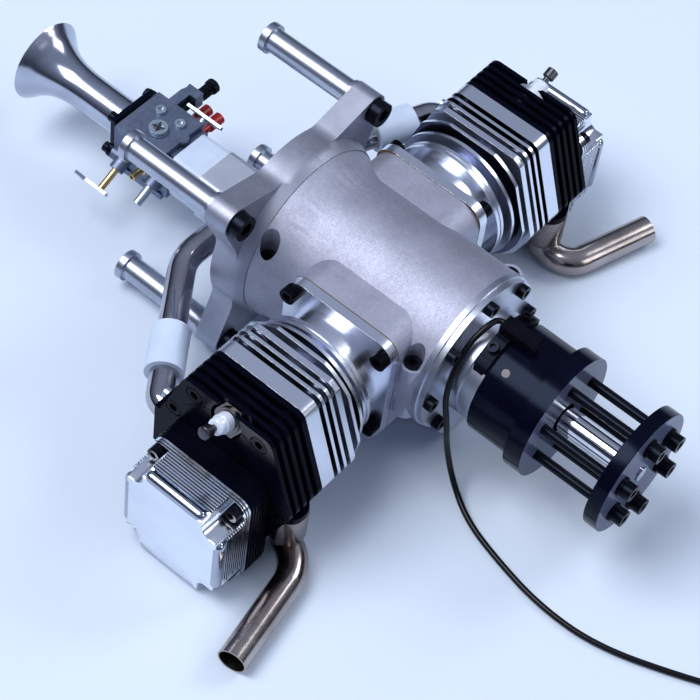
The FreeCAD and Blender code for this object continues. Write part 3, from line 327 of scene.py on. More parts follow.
def reflectFacedBlack(name, dark, light, rough, grain, shine, tint, ior):
    # black finish with a paler tone painted on turned end faces as their reflection: where y lies
    # in one of the planes
    s = hubReflectionSettings
    made = plastic(name, dark, light, rough, grain, shine=shine, tint=tint, ior=ior)
    tree = made.node_tree
    shader = tree.nodes["Principled BSDF"]
    place = next(node for node in tree.nodes if node.bl_idname == "ShaderNodeTexCoord")
    y = axes(tree, place.outputs["Object"])["Y"]
    under = shader.inputs["Base Color"].links[0].from_socket
    # each end face gets the painted reflection tone
    for plane in s["planes"]:
        near = reckon(tree, "COMPARE", y, plane, s["within"])
        # inputs 6 and 7 of this node are the two colours, and output 2 is their mix
        mix = tree.nodes.new("ShaderNodeMix")
        mix.data_type = "RGBA"
        mix.inputs[7].default_value = (*s["tone"], 1.0)
        tree.links.new(near, mix.inputs[0])
        tree.links.new(under, mix.inputs[6])
        under = mix.outputs[2]
    tree.links.new(under, shader.inputs["Base Color"])
    return made


# each finish: dark tone, light tone, roughness from and to, then its grain and the rest;
# the finned one has its bright tone first and then the painted shade between its fins
blueTint = (0.50, 0.64, 1.0)
castAluminium = castMetal(
    "castAluminium", (0.375, 0.385, 0.475), (0.465, 0.475, 0.580), (0.54, 0.68), 0.00014)
plateAluminium = metal(
    "plateAluminium", (0.33, 0.345, 0.425), (0.43, 0.45, 0.54), (0.46, 0.58), 700.0,
    (1, 1, 9), 0.00002)
turnedAluminium = metal(
    "turnedAluminium", (0.52, 0.55, 0.64), (0.62, 0.65, 0.75), (0.32, 0.38), 500.0)
brightAluminium = metal(
    "brightAluminium", (0.40, 0.43, 0.52), (0.47, 0.50, 0.59), (0.30, 0.33), 500.0, (1, 14, 1))
blockAluminium = metal(
    "blockAluminium", (0.58, 0.62, 0.72), (0.68, 0.72, 0.82), (0.45, 0.58), 1200.0, None, 0.00006)
# the second tone is the shade painted between the fins
finnedAluminium = finnedMetal(
    "finnedAluminium", (0.76, 0.79, 0.89), (0.055, 0.06, 0.085), (0.225, 0.262))
carbCasting = castMetal(
    "carbCasting", (0.13, 0.165, 0.25), (0.22, 0.26, 0.36), (0.44, 0.58), 0.00010)
# the hub's end faces carry a painted pale reflection
blackAnodised = reflectFacedBlack(
    "blackAnodised", (0.0012, 0.0015, 0.006), (0.0022, 0.0028, 0.011), (0.15, 0.18), 900.0,
    0.20, blueTint, 1.35)
headBlack = plastic(
    "headBlack", (0.0012, 0.0015, 0.005), (0.0020, 0.0026, 0.008), (0.20, 0.23), 900.0,
    shine=0.14, tint=blueTint, ior=1.25)
blackSteel = plastic(
    "blackSteel", (0.0015, 0.0016, 0.003), (0.004, 0.004, 0.006), (0.28, 0.31), 700.0,
    shine=0.16, tint=blueTint)
polishedSteel = metal(
    "polishedSteel", (0.62, 0.64, 0.70), (0.74, 0.76, 0.82), (0.05, 0.12), 300.0)
tubeSteel = metal("tubeSteel", (0.36, 0.35, 0.39), (0.50, 0.49, 0.54), (0.08, 0.14), 300.0)
exhaustSteel = metal(
    "exhaustSteel", (0.31, 0.255, 0.245), (0.46, 0.41, 0.39), (0.16, 0.25), 300.0)
# the collars are the exhaust pipes' steel darkened, as painted shade against the floor's
# reflection
shadedCollarSteel = metal("shadedCollarSteel", (0.17, 0.145, 0.14), (0.27, 0.24, 0.23), (0.18, 0.26), 400.0)
groundSteel = metal("groundSteel", (0.50, 0.52, 0.58), (0.64, 0.66, 0.72), (0.18, 0.26), 800.0)
zincSteel = metal("zincSteel", (0.42, 0.50, 0.58), (0.56, 0.64, 0.72), (0.34, 0.44), 600.0)
nickelSteel = metal("nickelSteel", (0.13, 0.12, 0.12), (0.21, 0.195, 0.19), (0.16, 0.24), 500.0)
magnetNickel = metal("magnetNickel", (0.05, 0.05, 0.055), (0.10, 0.095, 0.095), (0.42, 0.50))
boltBlack = plastic(
    "boltBlack", (0.0015, 0.0016, 0.003), (0.003, 0.003, 0.005), (0.28, 0.32), 700.0,
    shine=0.10, tint=blueTint, ior=1.3)
darkSteel = metal("darkSteel", (0.07, 0.07, 0.08), (0.13, 0.13, 0.15), (0.28, 0.36), 500.0)
brassMetal = metal("brassMetal", (0.52, 0.36, 0.14), (0.70, 0.52, 0.24), (0.18, 0.26), 500.0)
whitePlastic = plastic("whitePlastic", (0.54, 0.63, 0.80), (0.62, 0.71, 0.87), (0.38, 0.50))
ceramicWhite = plastic(
    "ceramicWhite", (0.66, 0.72, 0.84), (0.74, 0.80, 0.92), (0.12, 0.20), 300.0, coat=0.4)
redPlastic = plastic("redPlastic", (0.30, 0.004, 0.008), (0.44, 0.010, 0.014), (0.28, 0.36))
blackPlastic = plastic(
    "blackPlastic", (0.0015, 0.0018, 0.004), (0.004, 0.004, 0.008), (0.28, 0.36), 900.0,
    bumps=0.00002, shine=0.16, tint=blueTint, ior=1.35)
cableBlack = plastic(
    "cableBlack", (0.0012, 0.0014, 0.003), (0.003, 0.003, 0.006), (0.28, 0.34), 700.0, shine=0.25)
gasketBrown = plastic("gasketBrown", (0.06, 0.035, 0.02), (0.12, 0.07, 0.04), (0.7, 0.8))

finishes = {
    "cast_aluminium": castAluminium, "machined_aluminium": brightAluminium,
    "plate_aluminium": plateAluminium, "carb_casting": carbCasting,
    "black_anodised": blackAnodised, "black_steel": blackSteel,
    "polished_steel": polishedSteel, "tube_steel": tubeSteel, "exhaust_steel": exhaustSteel,
    "ground_steel": groundSteel, "gear_steel": groundSteel, "zinc_steel": zincSteel,
    "nickel_steel": nickelSteel, "brass": brassMetal, "white_plastic": whitePlastic,
    "ceramic": ceramicWhite, "red_plastic": redPlastic, "black_plastic": blackPlastic,
    "cable_black": cableBlack, "gasket": gasketBrown}
print("finishes mixed")


def finish(piece, material, body, *replaced):
    # gives a new piece its material, its body and the nodes that it stands for
    piece.data.materials.append(material)
    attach(piece, body)
    if replaced:
        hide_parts(*replaced)
    return piece


# the lead leaves the sensor, lies down and ends in two flat turns round its plug;
# tail is how it runs in to the plug, seen from the turns' centre
leadSettings = {
    "radius": 0.0015, "lay": -0.0557, "roundness": 5, "smoothness": 10, "order": 3,
    "route": [
        (0.0, -0.188, 0.0344), (0.0, -0.1846, 0.0344), (-0.0066, -0.1832, 0.0341),
        (-0.0179, -0.181, 0.0279), (-0.0314, -0.1825, 0.0066), (-0.034, -0.189, -0.012),
        (-0.031, -0.1895, -0.031), (-0.033, -0.198, -0.050), (-0.042, -0.215, -0.0557),
        (-0.049, -0.238, -0.0557), (-0.055, -0.268, -0.0557), (-0.054, -0.300, -0.0557),
        (-0.040, -0.338, -0.0557), (-0.022, -0.375, -0.0557)],
    "centre": (-0.00055, -0.3768), "along": (0.4375, -0.8992),
    "turns": 2.0, "perTurn": 16, "outer": 0.0188, "pitch": 0.0032,
    "tail": [(0.0060, -0.0105), (0.0105, -0.0075), (0.0120, -0.0030), (0.0098, -0.0002),
             (0.0070, 0.0)]}


def coilTurns():
    # angle from -90 degrees through two turns, radius = outer - pitch * turns so far, laid flat
    s = leadSettings
    count = int(s["turns"] * s["perTurn"])
    turned = np.arange(1, count) / s["perTurn"]
    angle = -math.pi / 2 + 2.0 * math.pi * turned
    radius = s["outer"] - s["pitch"] * turned
    turns = np.stack([radius * np.cos(angle), radius * np.sin(angle)], -1)
    local = np.vstack([turns, np.array(s["tail"])])
    along = np.array(s["along"])
    side = np.array([-along[1], along[0]])
    flat = np.array(s["centre"]) + local[:, :1] * along + local[:, 1:] * side
    return [(x, y, s["lay"]) for x, y in flat]


def makeLead():
    # the lead: its route and the turns put away as the control points of one smooth spline
    s = leadSettings
    points = list(s["route"]) + coilTurns()
    curve = bpy.data.curves.new("sensorLead", "CURVE")
    curve.dimensions = "3D"
    curve.bevel_depth = s["radius"]
    curve.bevel_resolution = s["roundness"]
    curve.use_fill_caps = True
    curve.resolution_u = s["smoothness"]
    spline = curve.splines.new("NURBS")
    spline.points.add(len(points) - 1)
    for i, p in enumerate(points):
        spline.points[i].co = (*p, 1.0)
    spline.order_u = s["order"]
    spline.use_endpoint_u = True
    lead = bpy.data.objects.new("sensorLead", curve)
    scene.collection.objects.link(lead)
    return lead


# stations: share of the half length, share of the section
plugSettings = {
    "long": 0.014, "wide": 0.008, "high": 0.006, "low": -0.0572, "square": 8, "steps": 64,
    "sharp": 30.0, "stations": [
        (-1.0, 0.0), (-1.0, 0.90), (-0.97, 1.0), (0.30, 1.0), (0.32, 0.93), (0.42, 0.93),
        (0.44, 1.0), (0.94, 1.0), (1.0, 0.88), (1.0, 0.45), (1.0, 0.0)]}


def makeLeadPlug():
    # the plug: a rounded box, |y|^8 + |z|^8 = 1 in its half width and half height,
    # with a groove round it and narrowed ends
    s = plugSettings
    along = np.array([*leadSettings["along"], 0.0])
    side = np.array([-along[1], along[0], 0.0])
    up = np.array([0.0, 0.0, 1.0])
    centre = np.array([*leadSettings["centre"], s["low"] + s["high"] / 2])
    half = np.array([s["long"], s["wide"], s["high"]]) / 2
    a = aroundOnce(s["steps"])
    power = s["square"]
    size = (np.abs(np.cos(a)) ** power + np.abs(np.sin(a)) ** power) ** (-1.0 / power)
    y, z = np.cos(a) * size, np.sin(a) * size
    grid = np.array([centre + along * (half[0] * t)
                     + (k * half[1] * y)[:, None] * side + (k * half[2] * z)[:, None] * up
                     for t, k in s["stations"]])
    return surface("leadPlug", grid, s["sharp"])


lead = makeLead()
lead.data.materials.append(cableBlack)
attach(lead, "engine")
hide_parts("sensor_cable", "cable_coil")
leadPlug = finish(makeLeadPlug(), blackPlastic, "engine", "cable_connector")
print("sensor lead laid with its plug")

# seat is |x| and z where a plug meets its head, left and right are the y of the two banks;
# profiles are (distance along the plug, radius)
sparkSettings = {
    "seat": (0.1170, 0.0243), "left": -0.1305, "right": -0.1090, "tilt": 24.0, "steps": 48,
    "ceramic": [
        (0.0060, 0.0), (0.0060, 0.0030), (0.0080, 0.0031), (0.0081, 0.0046), (0.0086, 0.0050),
        (0.0128, 0.0047), (0.0132, 0.0043), (0.0162, 0.0041), (0.0168, 0.0037),
        (0.0173, 0.0030), (0.0175, 0.0018), (0.0175, 0.0)],
    "terminal": [
        (0.0174, 0.0), (0.0174, 0.0017), (0.0202, 0.0017), (0.0204, 0.0026), (0.0208, 0.0031),
        (0.0250, 0.0031), (0.0254, 0.0028), (0.0256, 0.0020), (0.0256, 0.0)]}
banks = (("left", -1), ("right", 1))


def makeSparkPlugs():
    # two lathe profiles for each bank on an axis that tilts up and outwards
    s = sparkSettings
    tilt = math.radians(s["tilt"])
    for label, side in banks:
        axis = (side * math.cos(tilt), 0.0, math.sin(tilt))
        origin = (side * s["seat"][0], s[label], s["seat"][1])
        ceramic = lathe(label + "PlugCeramic", s["ceramic"], origin, axis, s["steps"])
        terminal = lathe(label + "PlugTerminal", s["terminal"], origin, axis, s["steps"])
        finish(ceramic, ceramicWhite, "engine", "plug_insulators")
        finish(terminal, darkSteel, "engine", "plug_insulators")


makeSparkPlugs()
print("spark plugs made")

# half, low, top and corner give the outline, from and to are |x| of the foot and the outer face;
# notchFrom and firstGroove are measured from the foot, land and barSink from the outer face
coverSettings = {
    "half": 0.0284, "low": -0.0560, "top": 0.0042, "corner": 0.0070, "leastCorner": 0.001,
    "from": 0.1375, "to": 0.1585, "steps": 480, "search": (0.010, 0.048, 2400), "sharp": 30.0,
    "notchY": 0.0232, "notchZ": 0.0250, "notch": 0.0054, "notchFrom": 0.0036, "soft": 0.0006,
    "fins": 10, "pitch": 0.00146, "firstGroove": 0.0010, "groove": 0.0007, "depth": 0.0013,
    "lean": 0.00012, "land": 0.0058, "sink": 0.0016, "round": 0.0005, "roundMid": 0.00015,
    "footShare": 0.2, "faceShare": 0.5, "barRound": 9, "barSteps": 32,
    "bar": 0.0031, "barSink": 0.0030, "barIn": 0.0022, "barY": 0.0175, "barZ": 0.0180}
# the painted groove shade starts a little early, before a groove's floor, and ends short of the
# groove's width past that start; wall is how far from a notch its bright wall counts
grooveSettings = {"early": 0.00004, "short": 0.00018, "wall": 0.0003}


def coverReach(angles, inset, notched):
    # distance from the middle to the edge along each angle: the first radius where
    # max(rounded box, notch - distance to the corner quadrant) leaves the shape
    s = coverSettings
    height = (s["top"] - s["low"]) / 2
    r = np.linspace(*s["search"])[:, None]
    y, z = np.abs(r * np.cos(angles)), np.abs(r * np.sin(angles))
    corner = max(s["corner"] - inset, s["leastCorner"])
    qy, qz = y - (s["half"] - inset - corner), z - (height - inset - corner)
    outside = np.hypot(np.maximum(qy, 0), np.maximum(qz, 0))
    edge = outside + np.minimum(np.maximum(qy, qz), 0) - corner
    if notched:
        gap = s["notch"] - np.hypot(np.maximum(s["notchY"] - y, 0), np.maximum(s["notchZ"] - z, 0))
        soft = s["soft"]
        mix = np.maximum(soft - np.abs(edge - gap), 0) / soft
        edge = np.maximum(edge, gap) + mix * mix * soft / 4
    first = np.argmax(edge > 0, axis=0)
    before = edge[first - 1, np.arange(len(angles))]
    after = edge[first, np.arange(len(angles))]
    step = r[1, 0] - r[0, 0]
    return r[first - 1, 0] + step * (-before) / (after - before)


def coverRows(angles):
    # the cover's section from its foot outwards, as (distance, radius at each angle): grooves
    # with leaning walls, notches from notchFrom on, a smooth land and a rounded outer edge;
    # also where the floor of each groove starts
    s = coverSettings
    full = [coverReach(angles, inset, False) for inset in (0.0, s["depth"])]
    cut = [coverReach(angles, inset, True) for inset in (0.0, s["depth"])]
    rows = [(0.0, full[1] * s["footShare"]), (0.0, full[0])]
    floors = []
    outline = full
    for k in range(s["fins"]):
        start = s["firstGroove"] + k * s["pitch"]
        end = start + s["groove"]
        if outline is full and start > s["notchFrom"]:
            rows += [(s["notchFrom"], full[0]), (s["notchFrom"], cut[0])]
            outline = cut
        floors.append(start + s["lean"])
        rows += [(start, outline[0]), (start + s["lean"], outline[1]),
                 (end - s["lean"], outline[1]), (end, outline[0])]
    thick = s["to"] - s["from"]
    edge = coverReach(angles, s["sink"], True)
    rows += [(thick - s["land"], cut[0]), (thick - s["land"], edge), (thick - s["round"], edge),
             (thick - s["roundMid"], edge - s["roundMid"]), (thick, edge - s["round"]),
             (thick, edge * s["faceShare"]), (thick, edge * 0.0)]
    return rows, floors


def bankGrid(rows, angles, side, bankY, middle):
    # point(x, a) = (side * x, bankY + radius * cos a, middle + radius * sin a)
    return np.array([np.stack([np.full_like(angles, side * x), bankY + radius * np.cos(angles),
                               middle + radius * np.sin(angles)], -1) for x, radius in rows])


def shadeGrooves(shell, side, floors, bankY, middle):
    # faces over a groove's floor, by the x of their middle, take the painted groove shade,
    # apart from the smooth walls of the corner notches
    s, g = coverSettings, grooveSettings
    shell.data.materials.append(paintedGrooveShade)
    count = len(shell.data.polygons)
    middles = np.empty(count * 3)
    shell.data.polygons.foreach_get("center", middles)
    x = side * middles[0::3]
    y, z = np.abs(middles[1::3] - bankY), np.abs(middles[2::3] - middle)
    reach = np.hypot(np.maximum(s["notchY"] - y, 0), np.maximum(s["notchZ"] - z, 0))
    wall = (reach < s["notch"] + g["wall"]) & (x > s["from"] + s["notchFrom"])
    marks = np.zeros(count, dtype=np.int32)
    for start in floors:
        marks[(x > start - g["early"]) & (x < start + s["groove"] - g["short"]) & ~wall] = 1
    shell.data.polygons.foreach_set("material_index", marks)


def coverBar(name, a, b):
    # round ended bar from a to b: quarter circles at both ends of a straight side
    s = coverSettings
    a, b = np.array(a), np.array(b)
    length = np.linalg.norm(b - a)
    t = np.linspace(0.0, math.pi / 2, s["barRound"])
    along, radius = s["bar"] * (1 - np.cos(t)), s["bar"] * np.sin(t)
    foot = np.stack([along, radius], -1)
    head = np.stack([length - along, radius], -1)[::-1]
    return lathe(name, np.vstack([foot, head]), a, b - a, s["barSteps"])


def makeRockerCover(label, side, bankY):
    # the finned shell of one bank, and a bar along its top, front and rear edges
    s = coverSettings
    node = "rocker_cover_" + label
    angles = aroundOnce(s["steps"])
    middle = (s["top"] + s["low"]) / 2
    rows, floors = coverRows(angles)
    rows = [(s["from"] + x, radius) for x, radius in rows]
    floors = [s["from"] + x for x in floors]
    grid = bankGrid(rows, angles, side, bankY, middle)
    shell = surface(label + "RockerCover", grid, s["sharp"])
    finish(shell, coverAluminium, "engine", node)
    shadeGrooves(shell, side, floors, bankY, middle)
    x, z = side * (s["to"] - s["barSink"]), s["top"] - s["barIn"]
    front, rear = bankY - s["half"] + s["barIn"], bankY + s["half"] - s["barIn"]
    ends = [("Top", (x, bankY - s["barY"], z), (x, bankY + s["barY"], z))]
    for place, y in (("Front", front), ("Rear", rear)):
        ends.append((place, (x, y, middle - s["barZ"]), (x, y, middle + s["barZ"])))
    for place, a, b in ends:
        finish(coverBar(label + place + "Bar", a, b), shadedBarAluminium, "engine", node)


coverAluminium = metal(
    "coverAluminium", (0.80, 0.84, 0.92), (0.88, 0.91, 0.97), (0.12, 0.20), 300.0, (1, 3, 1))
# the bars are the cover's own aluminium, darkened as painted shade
shadedBarAluminium = metal("shadedBarAluminium", (0.36, 0.39, 0.48), (0.46, 0.49, 0.58), (0.10, 0.16), 300.0)
# the dark tone painted into the cover's grooves as their shade
paintedGrooveShade = metal("paintedGrooveShade", (0.03, 0.035, 0.05), (0.07, 0.075, 0.10), (0.40, 0.55), 700.0)
for label, side in banks:
    makeRockerCover(label, side, sparkSettings[label])
print("rocker covers made")

ribSettings = {
    "from": 0.1258, "count": 6, "pitch": 0.00195, "rib": 0.0010, "proud": 0.0005, "sink": 0.0006,
    "edge": 0.0001, "steps": 240, "sharp": 30.0}


def makeBoxRibs(label, side, bankY):
    # each rib of the black rocker box is a closed band: edge out by proud, round the same
    # rounded box as the cover, and back inside the wall
    s = ribSettings
    angles = aroundOnce(s["steps"])
    middle = (coverSettings["top"] + coverSettings["low"]) / 2
    outer = coverReach(angles, -s["proud"], False)
    inner = coverReach(angles, s["sink"], False)
    for k in range(s["count"]):
        low = s["from"] + k * s["pitch"]
        high = low + s["rib"]
        rows = [(low, inner), (low, outer - s["edge"]), (low + s["edge"], outer),
                (high - s["edge"], outer), (high, outer - s["edge"]), (high, inner), (low, inner)]
        grid = bankGrid(rows, angles, side, bankY, middle)
        finish(surface(label + "BoxRib" + str(k + 1), grid, s["sharp"]), headBlack, "engine")


for label, side in banks:
    makeBoxRibs(label, side, sparkSettings[label])
print("rocker box ribs made")

# outer, lip and inner are one profile of the bell: (distance behind its seat, radius)
stackSettings = {
    "rear": 0.0410, "height": -0.0145, "steps": 96,
    "flange": 0.0030, "half": 0.0145, "tall": 0.0140, "throat": 0.0090, "edge": 0.0004,
    "flangeSteps": 360, "sharp": 30.0, "lug": 0.0034,
    "lugs": [(-0.0145, -0.0085), (0.0145, 0.0085)],
    "outer": [(0.0029, 0.0102), (0.0150, 0.0101), (0.0300, 0.0102), (0.0400, 0.0109),
              (0.0480, 0.0129), (0.0545, 0.0163), (0.0592, 0.0202), (0.0612, 0.0219)],
    "lip": [(0.0618, 0.0223), (0.0620, 0.0220), (0.0620, 0.0215)],
    "inner": [(0.0616, 0.0212), (0.0590, 0.0190), (0.0540, 0.0152), (0.0475, 0.0119),
              (0.0395, 0.0099), (0.0300, 0.0091), (0.0150, 0.0090), (0.0, 0.0090)]}


def flangeEdge(a):
    # the farther of the square and the two lugs along each angle
    s = stackSettings
    tiny = 1e-6
    across = s["half"] / np.maximum(np.abs(np.cos(a)), tiny)
    upright = s["tall"] / np.maximum(np.abs(np.sin(a)), tiny)
    edge = np.minimum(across, upright)
    for x, z in s["lugs"]:
        reach, turn = math.hypot(x, z), a - math.atan2(z, x)
        room = s["lug"] ** 2 - (reach * np.sin(turn)) ** 2
        lugEdge = reach * np.cos(turn) + np.sqrt(np.maximum(room, 0))
        edge = np.where((room > 0) & (np.cos(turn) > 0), np.maximum(edge, lugEdge), edge)
    return edge


def makeStack():
    # the bell is a lathe profile along Y; the flange is a plate with a round throat
    s = stackSettings
    profile = np.vstack([smoothLine(s["outer"]), np.array(s["lip"]), smoothLine(s["inner"])])
    bell = lathe("stackBell", profile, (0.0, s["rear"], s["height"]), (0, 1, 0), s["steps"])
    finish(bell, stackAluminium, "engine", "velocity_stack")
    a = aroundOnce(s["flangeSteps"])
    edge = flangeEdge(a)
    inner = np.full_like(a, s["throat"])
    rows = [(0.0, inner), (0.0, edge), (s["flange"] - s["edge"], edge),
            (s["flange"], edge - s["edge"]), (s["flange"], inner)]
    grid = np.array([np.stack([r * np.cos(a), np.full_like(a, s["rear"] + y),
                               s["height"] + r * np.sin(a)], -1) for y, r in rows])
    finish(surface("stackFlange", grid, s["sharp"]), blackAnodised, "engine", "velocity_stack")


stackAluminium = metal(
    "stackAluminium", (0.40, 0.43, 0.52), (0.52, 0.55, 0.64), (0.15, 0.20), 300.0, (1, 8, 1))
makeStack()
print("velocity stack made")

# shank and knob are lathe profiles along X; the spring runs from one x to the other
idleSettings = {
    "place": (0.0, 0.0253, -0.0045), "shankSteps": 32,
    "spring": 0.0029, "wire": 0.00045, "from": 0.0311, "to": 0.0383, "coils": 5.5,
    "springSteps": 220, "wireSteps": 10, "knobSteps": 120, "ribs": 20, "ribHeight": 0.035,
    "shank": [(0.0170, 0.0), (0.0170, 0.0017), (0.0174, 0.0020), (0.0386, 0.0020), (0.0386, 0.0)],
    "knob": [(0.0384, 0.0), (0.0384, 0.0034), (0.0387, 0.0039), (0.0416, 0.0039),
             (0.0420, 0.0034), (0.0420, 0.0)]}


def makeIdleScrew():
    # the spring is a helix: x rises evenly, y and z go round the shank
    s = idleSettings
    place, axis = s["place"], (1, 0, 0)
    shank = lathe("idleShank", s["shank"], place, axis, s["shankSteps"])
    knob = lathe("idleKnob", s["knob"], place, axis, s["knobSteps"], s["ribs"], s["ribHeight"])
    t = np.linspace(0.0, 1.0, s["springSteps"])
    turn = 2.0 * math.pi * s["coils"] * t
    line = np.stack([s["from"] + (s["to"] - s["from"]) * t, place[1] + s["spring"] * np.cos(turn),
                     place[2] + s["spring"] * np.sin(turn)], -1)
    spring = carry("idleSpring", line, s["wire"], s["wireSteps"])
    for piece in (shank, knob, spring):
        finish(piece, blackSteel, "idle", "idle_screw")


makeIdleScrew()
print("idle screw made")

# port is |x| and the distance in y from the bank's middle; the profile is (z, radius)
collarSettings = {
    "port": (0.1120, -0.0310), "profile": [
        (-0.0445, 0.0073), (-0.0445, 0.0078), (-0.0436, 0.0083), (-0.0424, 0.0090),
        (-0.0412, 0.0093), (-0.0245, 0.0093), (-0.0237, 0.0091), (-0.0235, 0.0088)]}


def makeCollars():
    # a short upright sleeve round each exhaust pipe, by its lathe profile
    s = collarSettings
    for label, side in banks:
        origin = (side * s["port"][0], sparkSettings[label] + s["port"][1], 0.0)
        collar = lathe(label + "ExhaustCollar", s["profile"], origin, (0, 0, 1))
        finish(collar, shadedCollarSteel, "engine")


makeCollars()
print("exhaust collars made")

# the fork's outline is (y, z) from its spindle; from and to are its faces along the spindle
forkSettings = {
    "spindle": (0.0336, -0.0145), "roll": 27.0, "from": -0.0372, "to": -0.0356, "grow": 0.00015,
    "middle": (0.006, 0.0), "sharp": 30.0,
    "outline": [(-0.0045, -0.0016), (-0.0045, 0.0016), (0.0090, 0.0016), (0.0140, 0.0054),
                (0.0150, 0.0042), (0.0114, 0.0), (0.0150, -0.0042), (0.0140, -0.0054),
                (0.0090, -0.0016)]}


def makeFork():
    # the choke lever's end: outline pushed out by grow, set at two distances along the spindle
    # and turned by roll about Y
    s = forkSettings
    flat = np.array(s["outline"])
    middle = np.array(s["middle"])
    flat = flat + s["grow"] * np.sign(flat - middle)
    turn = math.radians(s["roll"])
    rows = []
    for x, k in ((s["from"], 0.0), (s["from"], 1.0), (s["to"], 1.0), (s["to"], 0.0)):
        y, z = middle[0] + k * (flat[:, 0] - middle[0]), k * flat[:, 1]
        rows.append(np.stack([x * math.cos(turn) - z * math.sin(turn), s["spindle"][0] + y,
                              s["spindle"][1] + x * math.sin(turn) + z * math.cos(turn)], -1))
    finish(surface("chokeFork", np.array(rows), s["sharp"]), zincSteel, "choke")


crossSettings = {
    "place": (-0.0034, 0.0220, 0.0026), "arm": 0.0033, "half": 0.00045, "turn": 20.0,
    "proud": 0.00006, "deep": 0.0003, "sharp": 30.0}


def makeCross():
    # two crossed slots in painted shade, a dark sheet laid a hair over the pan head for its cross
    # recess
    s = crossSettings
    a, b = s["arm"], s["half"]
    corner = np.array([(a, b), (b, b), (b, a), (-b, a), (-b, b), (-a, b),
                       (-a, -b), (-b, -b), (-b, -a), (b, -a), (b, -b), (a, -b)])
    turn = math.radians(s["turn"])
    x = corner[:, 0] * math.cos(turn) - corner[:, 1] * math.sin(turn)
    y = corner[:, 0] * math.sin(turn) + corner[:, 1] * math.cos(turn)
    px, py, pz = s["place"]
    low, high = pz - s["deep"], pz + s["proud"]
    rows = [np.stack([px + k * x, py + k * y, np.full_like(x, z)], -1)
            for k, z in ((0.0, low), (1.0, low), (1.0, high), (0.0, high))]
    finish(surface("panHeadCross", np.array(rows), s["sharp"]), darkSteel, "engine")


makeFork()
makeCross()
print("carburettor details made")

# widths are the rounding of each node's sharp edges, 0 where it isn't named
edgeSettings = {"weld": 0.000002, "flat": 0.6, "angle": 35.0, "segments": 2, "weight": 60}
edgeWidths = {
    "crankcase_upper": 0.0006, "crankcase_lower": 0.0006, "mount_plate": 0.0006,
    "mount_standoffs": 0.0003, "front_cover": 0.0004, "prop_hub": 0.0004, "prop_washer": 0.0004,
    "carburettor_body": 0.0005, "intake_manifold": 0.0006, "carb_spacer": 0.0004,
    "case_bolts": 0.0003, "front_cover_bolts": 0.0003, "cylinder_bolts": 0.0003,
    "standoff_bolts": 0.0004, "prop_bolts": 0.0003, "cover_bolts": 0.0003, "plate_bolts": 0.0003,
    "small_screws": 0.0002, "cylinder_left": 0.00025, "cylinder_right": 0.00025,
    "head_left": 0.0003, "head_right": 0.0003, "sensor_bracket": 0.0003, "hall_sensor": 0.0003,
    "plug_shells": 0.0002, "throttle_shaft": 0.0002, "choke_shaft": 0.0002,
    "carb_screws": 0.0002, "prop_bolt_washers": 0.0001}
ownFinish = {
    "cylinder_left": finnedAluminium, "cylinder_right": finnedAluminium,
    "head_left": headBlack, "head_right": headBlack, "intake_manifold": blockAluminium,
    "front_cover": turnedAluminium, "trigger_magnet": magnetNickel, "cylinder_bolts": boltBlack}


def softenEdges(piece, width):
    # welds the loose triangles, clears flat faces and rounds the sharp edges a little
    s = edgeSettings
    weld = piece.modifiers.new("weld", "WELD")
    weld.merge_threshold = s["weld"]
    flat = piece.modifiers.new("flat", "DECIMATE")
    flat.decimate_type = "DISSOLVE"
    flat.angle_limit = math.radians(s["flat"])
    if width:
        bevel = piece.modifiers.new("edges", "BEVEL")
        bevel.width = width
        bevel.segments = s["segments"]
        bevel.limit_method = "ANGLE"
        bevel.angle_limit = math.radians(s["angle"])
        bevel.use_clamp_overlap = True
    even = piece.modifiers.new("even", "WEIGHTED_NORMAL")
    even.mode = "FACE_AREA_WITH_ANGLE"
    even.weight = s["weight"]
    even.keep_sharp = True


def dressNodes():
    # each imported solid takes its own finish, or else its slot's, and softened edges
    slots = {part["node"]: part["material_slot"] for part in frame["record"]["subparts"]}
    for name, piece in nodes.items():
        piece.data.materials.clear()
        piece.data.materials.append(ownFinish.get(name, finishes[slots[name]]))
        softenEdges(piece, edgeWidths.get(name, 0.0))


dressNodes()
print("solids dressed")

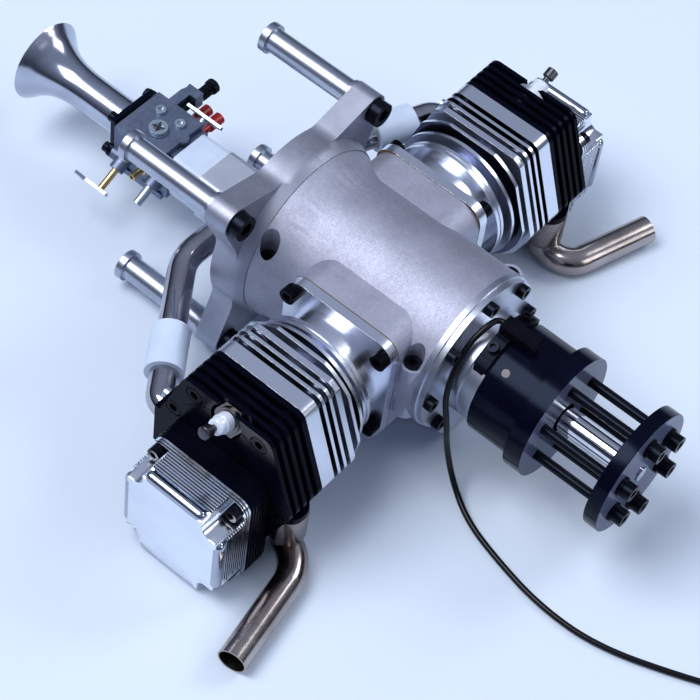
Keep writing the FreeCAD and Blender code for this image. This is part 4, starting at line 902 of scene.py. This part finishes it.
floorSettings = {
    "height": -0.0573, "half": 6.0, "colour": (0.68, 0.765, 0.895), "rough": 0.8, "shine": 0.15}
airSettings = {
    "low": (0.06, 0.07, 0.11), "high": (0.52, 0.60, 0.80), "from": 0.15, "to": 0.85,
    "strength": 0.60}
# name, place, size, power, colour
lightSettings = {"aim": (0.0, -0.12, 0.0), "lamps": [
    ("keySoft", (-0.75, 0.55, 1.90), 1.3, 40.0, (0.95, 0.97, 1.0)),
    ("rightSoft", (1.10, -0.70, 1.10), 0.6, 7.0, (0.94, 0.97, 1.0)),
    ("frontSoft", (0.30, -1.80, 0.90), 0.8, 5.0, (0.96, 0.98, 1.0))]}


def makeFloor():
    # one flat square of pale paper
    s = floorSettings
    half, z = s["half"], s["height"]
    corners = [(-half, -half, z), (half, -half, z), (half, half, z), (-half, half, z)]
    mesh = bpy.data.meshes.new("studioFloor")
    mesh.from_pydata(corners, [], [(0, 1, 2, 3)])
    floor = bpy.data.objects.new("studioFloor", mesh)
    scene.collection.objects.link(floor)
    made, _, shader, _ = newMaterial("studioPaper")
    shader.inputs["Base Color"].default_value = (*s["colour"], 1.0)
    shader.inputs["Roughness"].default_value = s["rough"]
    shader.inputs["Specular IOR Level"].default_value = s["shine"]
    floor.data.materials.append(made)


def makeAir():
    # the air grows brighter with the height of the direction looked at
    s = airSettings
    world = bpy.data.worlds.new("studioAir")
    scene.world = world
    world.use_nodes = True
    tree = world.node_tree
    place = tree.nodes.new("ShaderNodeTexCoord")
    height = axes(tree, place.outputs["Generated"])["Z"]
    sky = tones(tree, height, s["low"], s["high"], s["from"], s["to"])
    back = tree.nodes["Background"]
    tree.links.new(sky, back.inputs["Color"])
    back.inputs["Strength"].default_value = s["strength"]


def makeLights():
    # square lamps that all look at the same spot
    aim = Vector(lightSettings["aim"])
    for name, place, size, power, colour in lightSettings["lamps"]:
        data = bpy.data.lights.new(name, "AREA")
        data.shape = "SQUARE"
        data.size = size
        data.energy = power
        data.color = colour
        lamp = bpy.data.objects.new(name, data)
        lamp.location = place
        lamp.rotation_euler = (aim - Vector(place)).to_track_quat("-Z", "Y").to_euler()
        scene.collection.objects.link(lamp)


makeFloor()
makeAir()
makeLights()
print("stage lit")
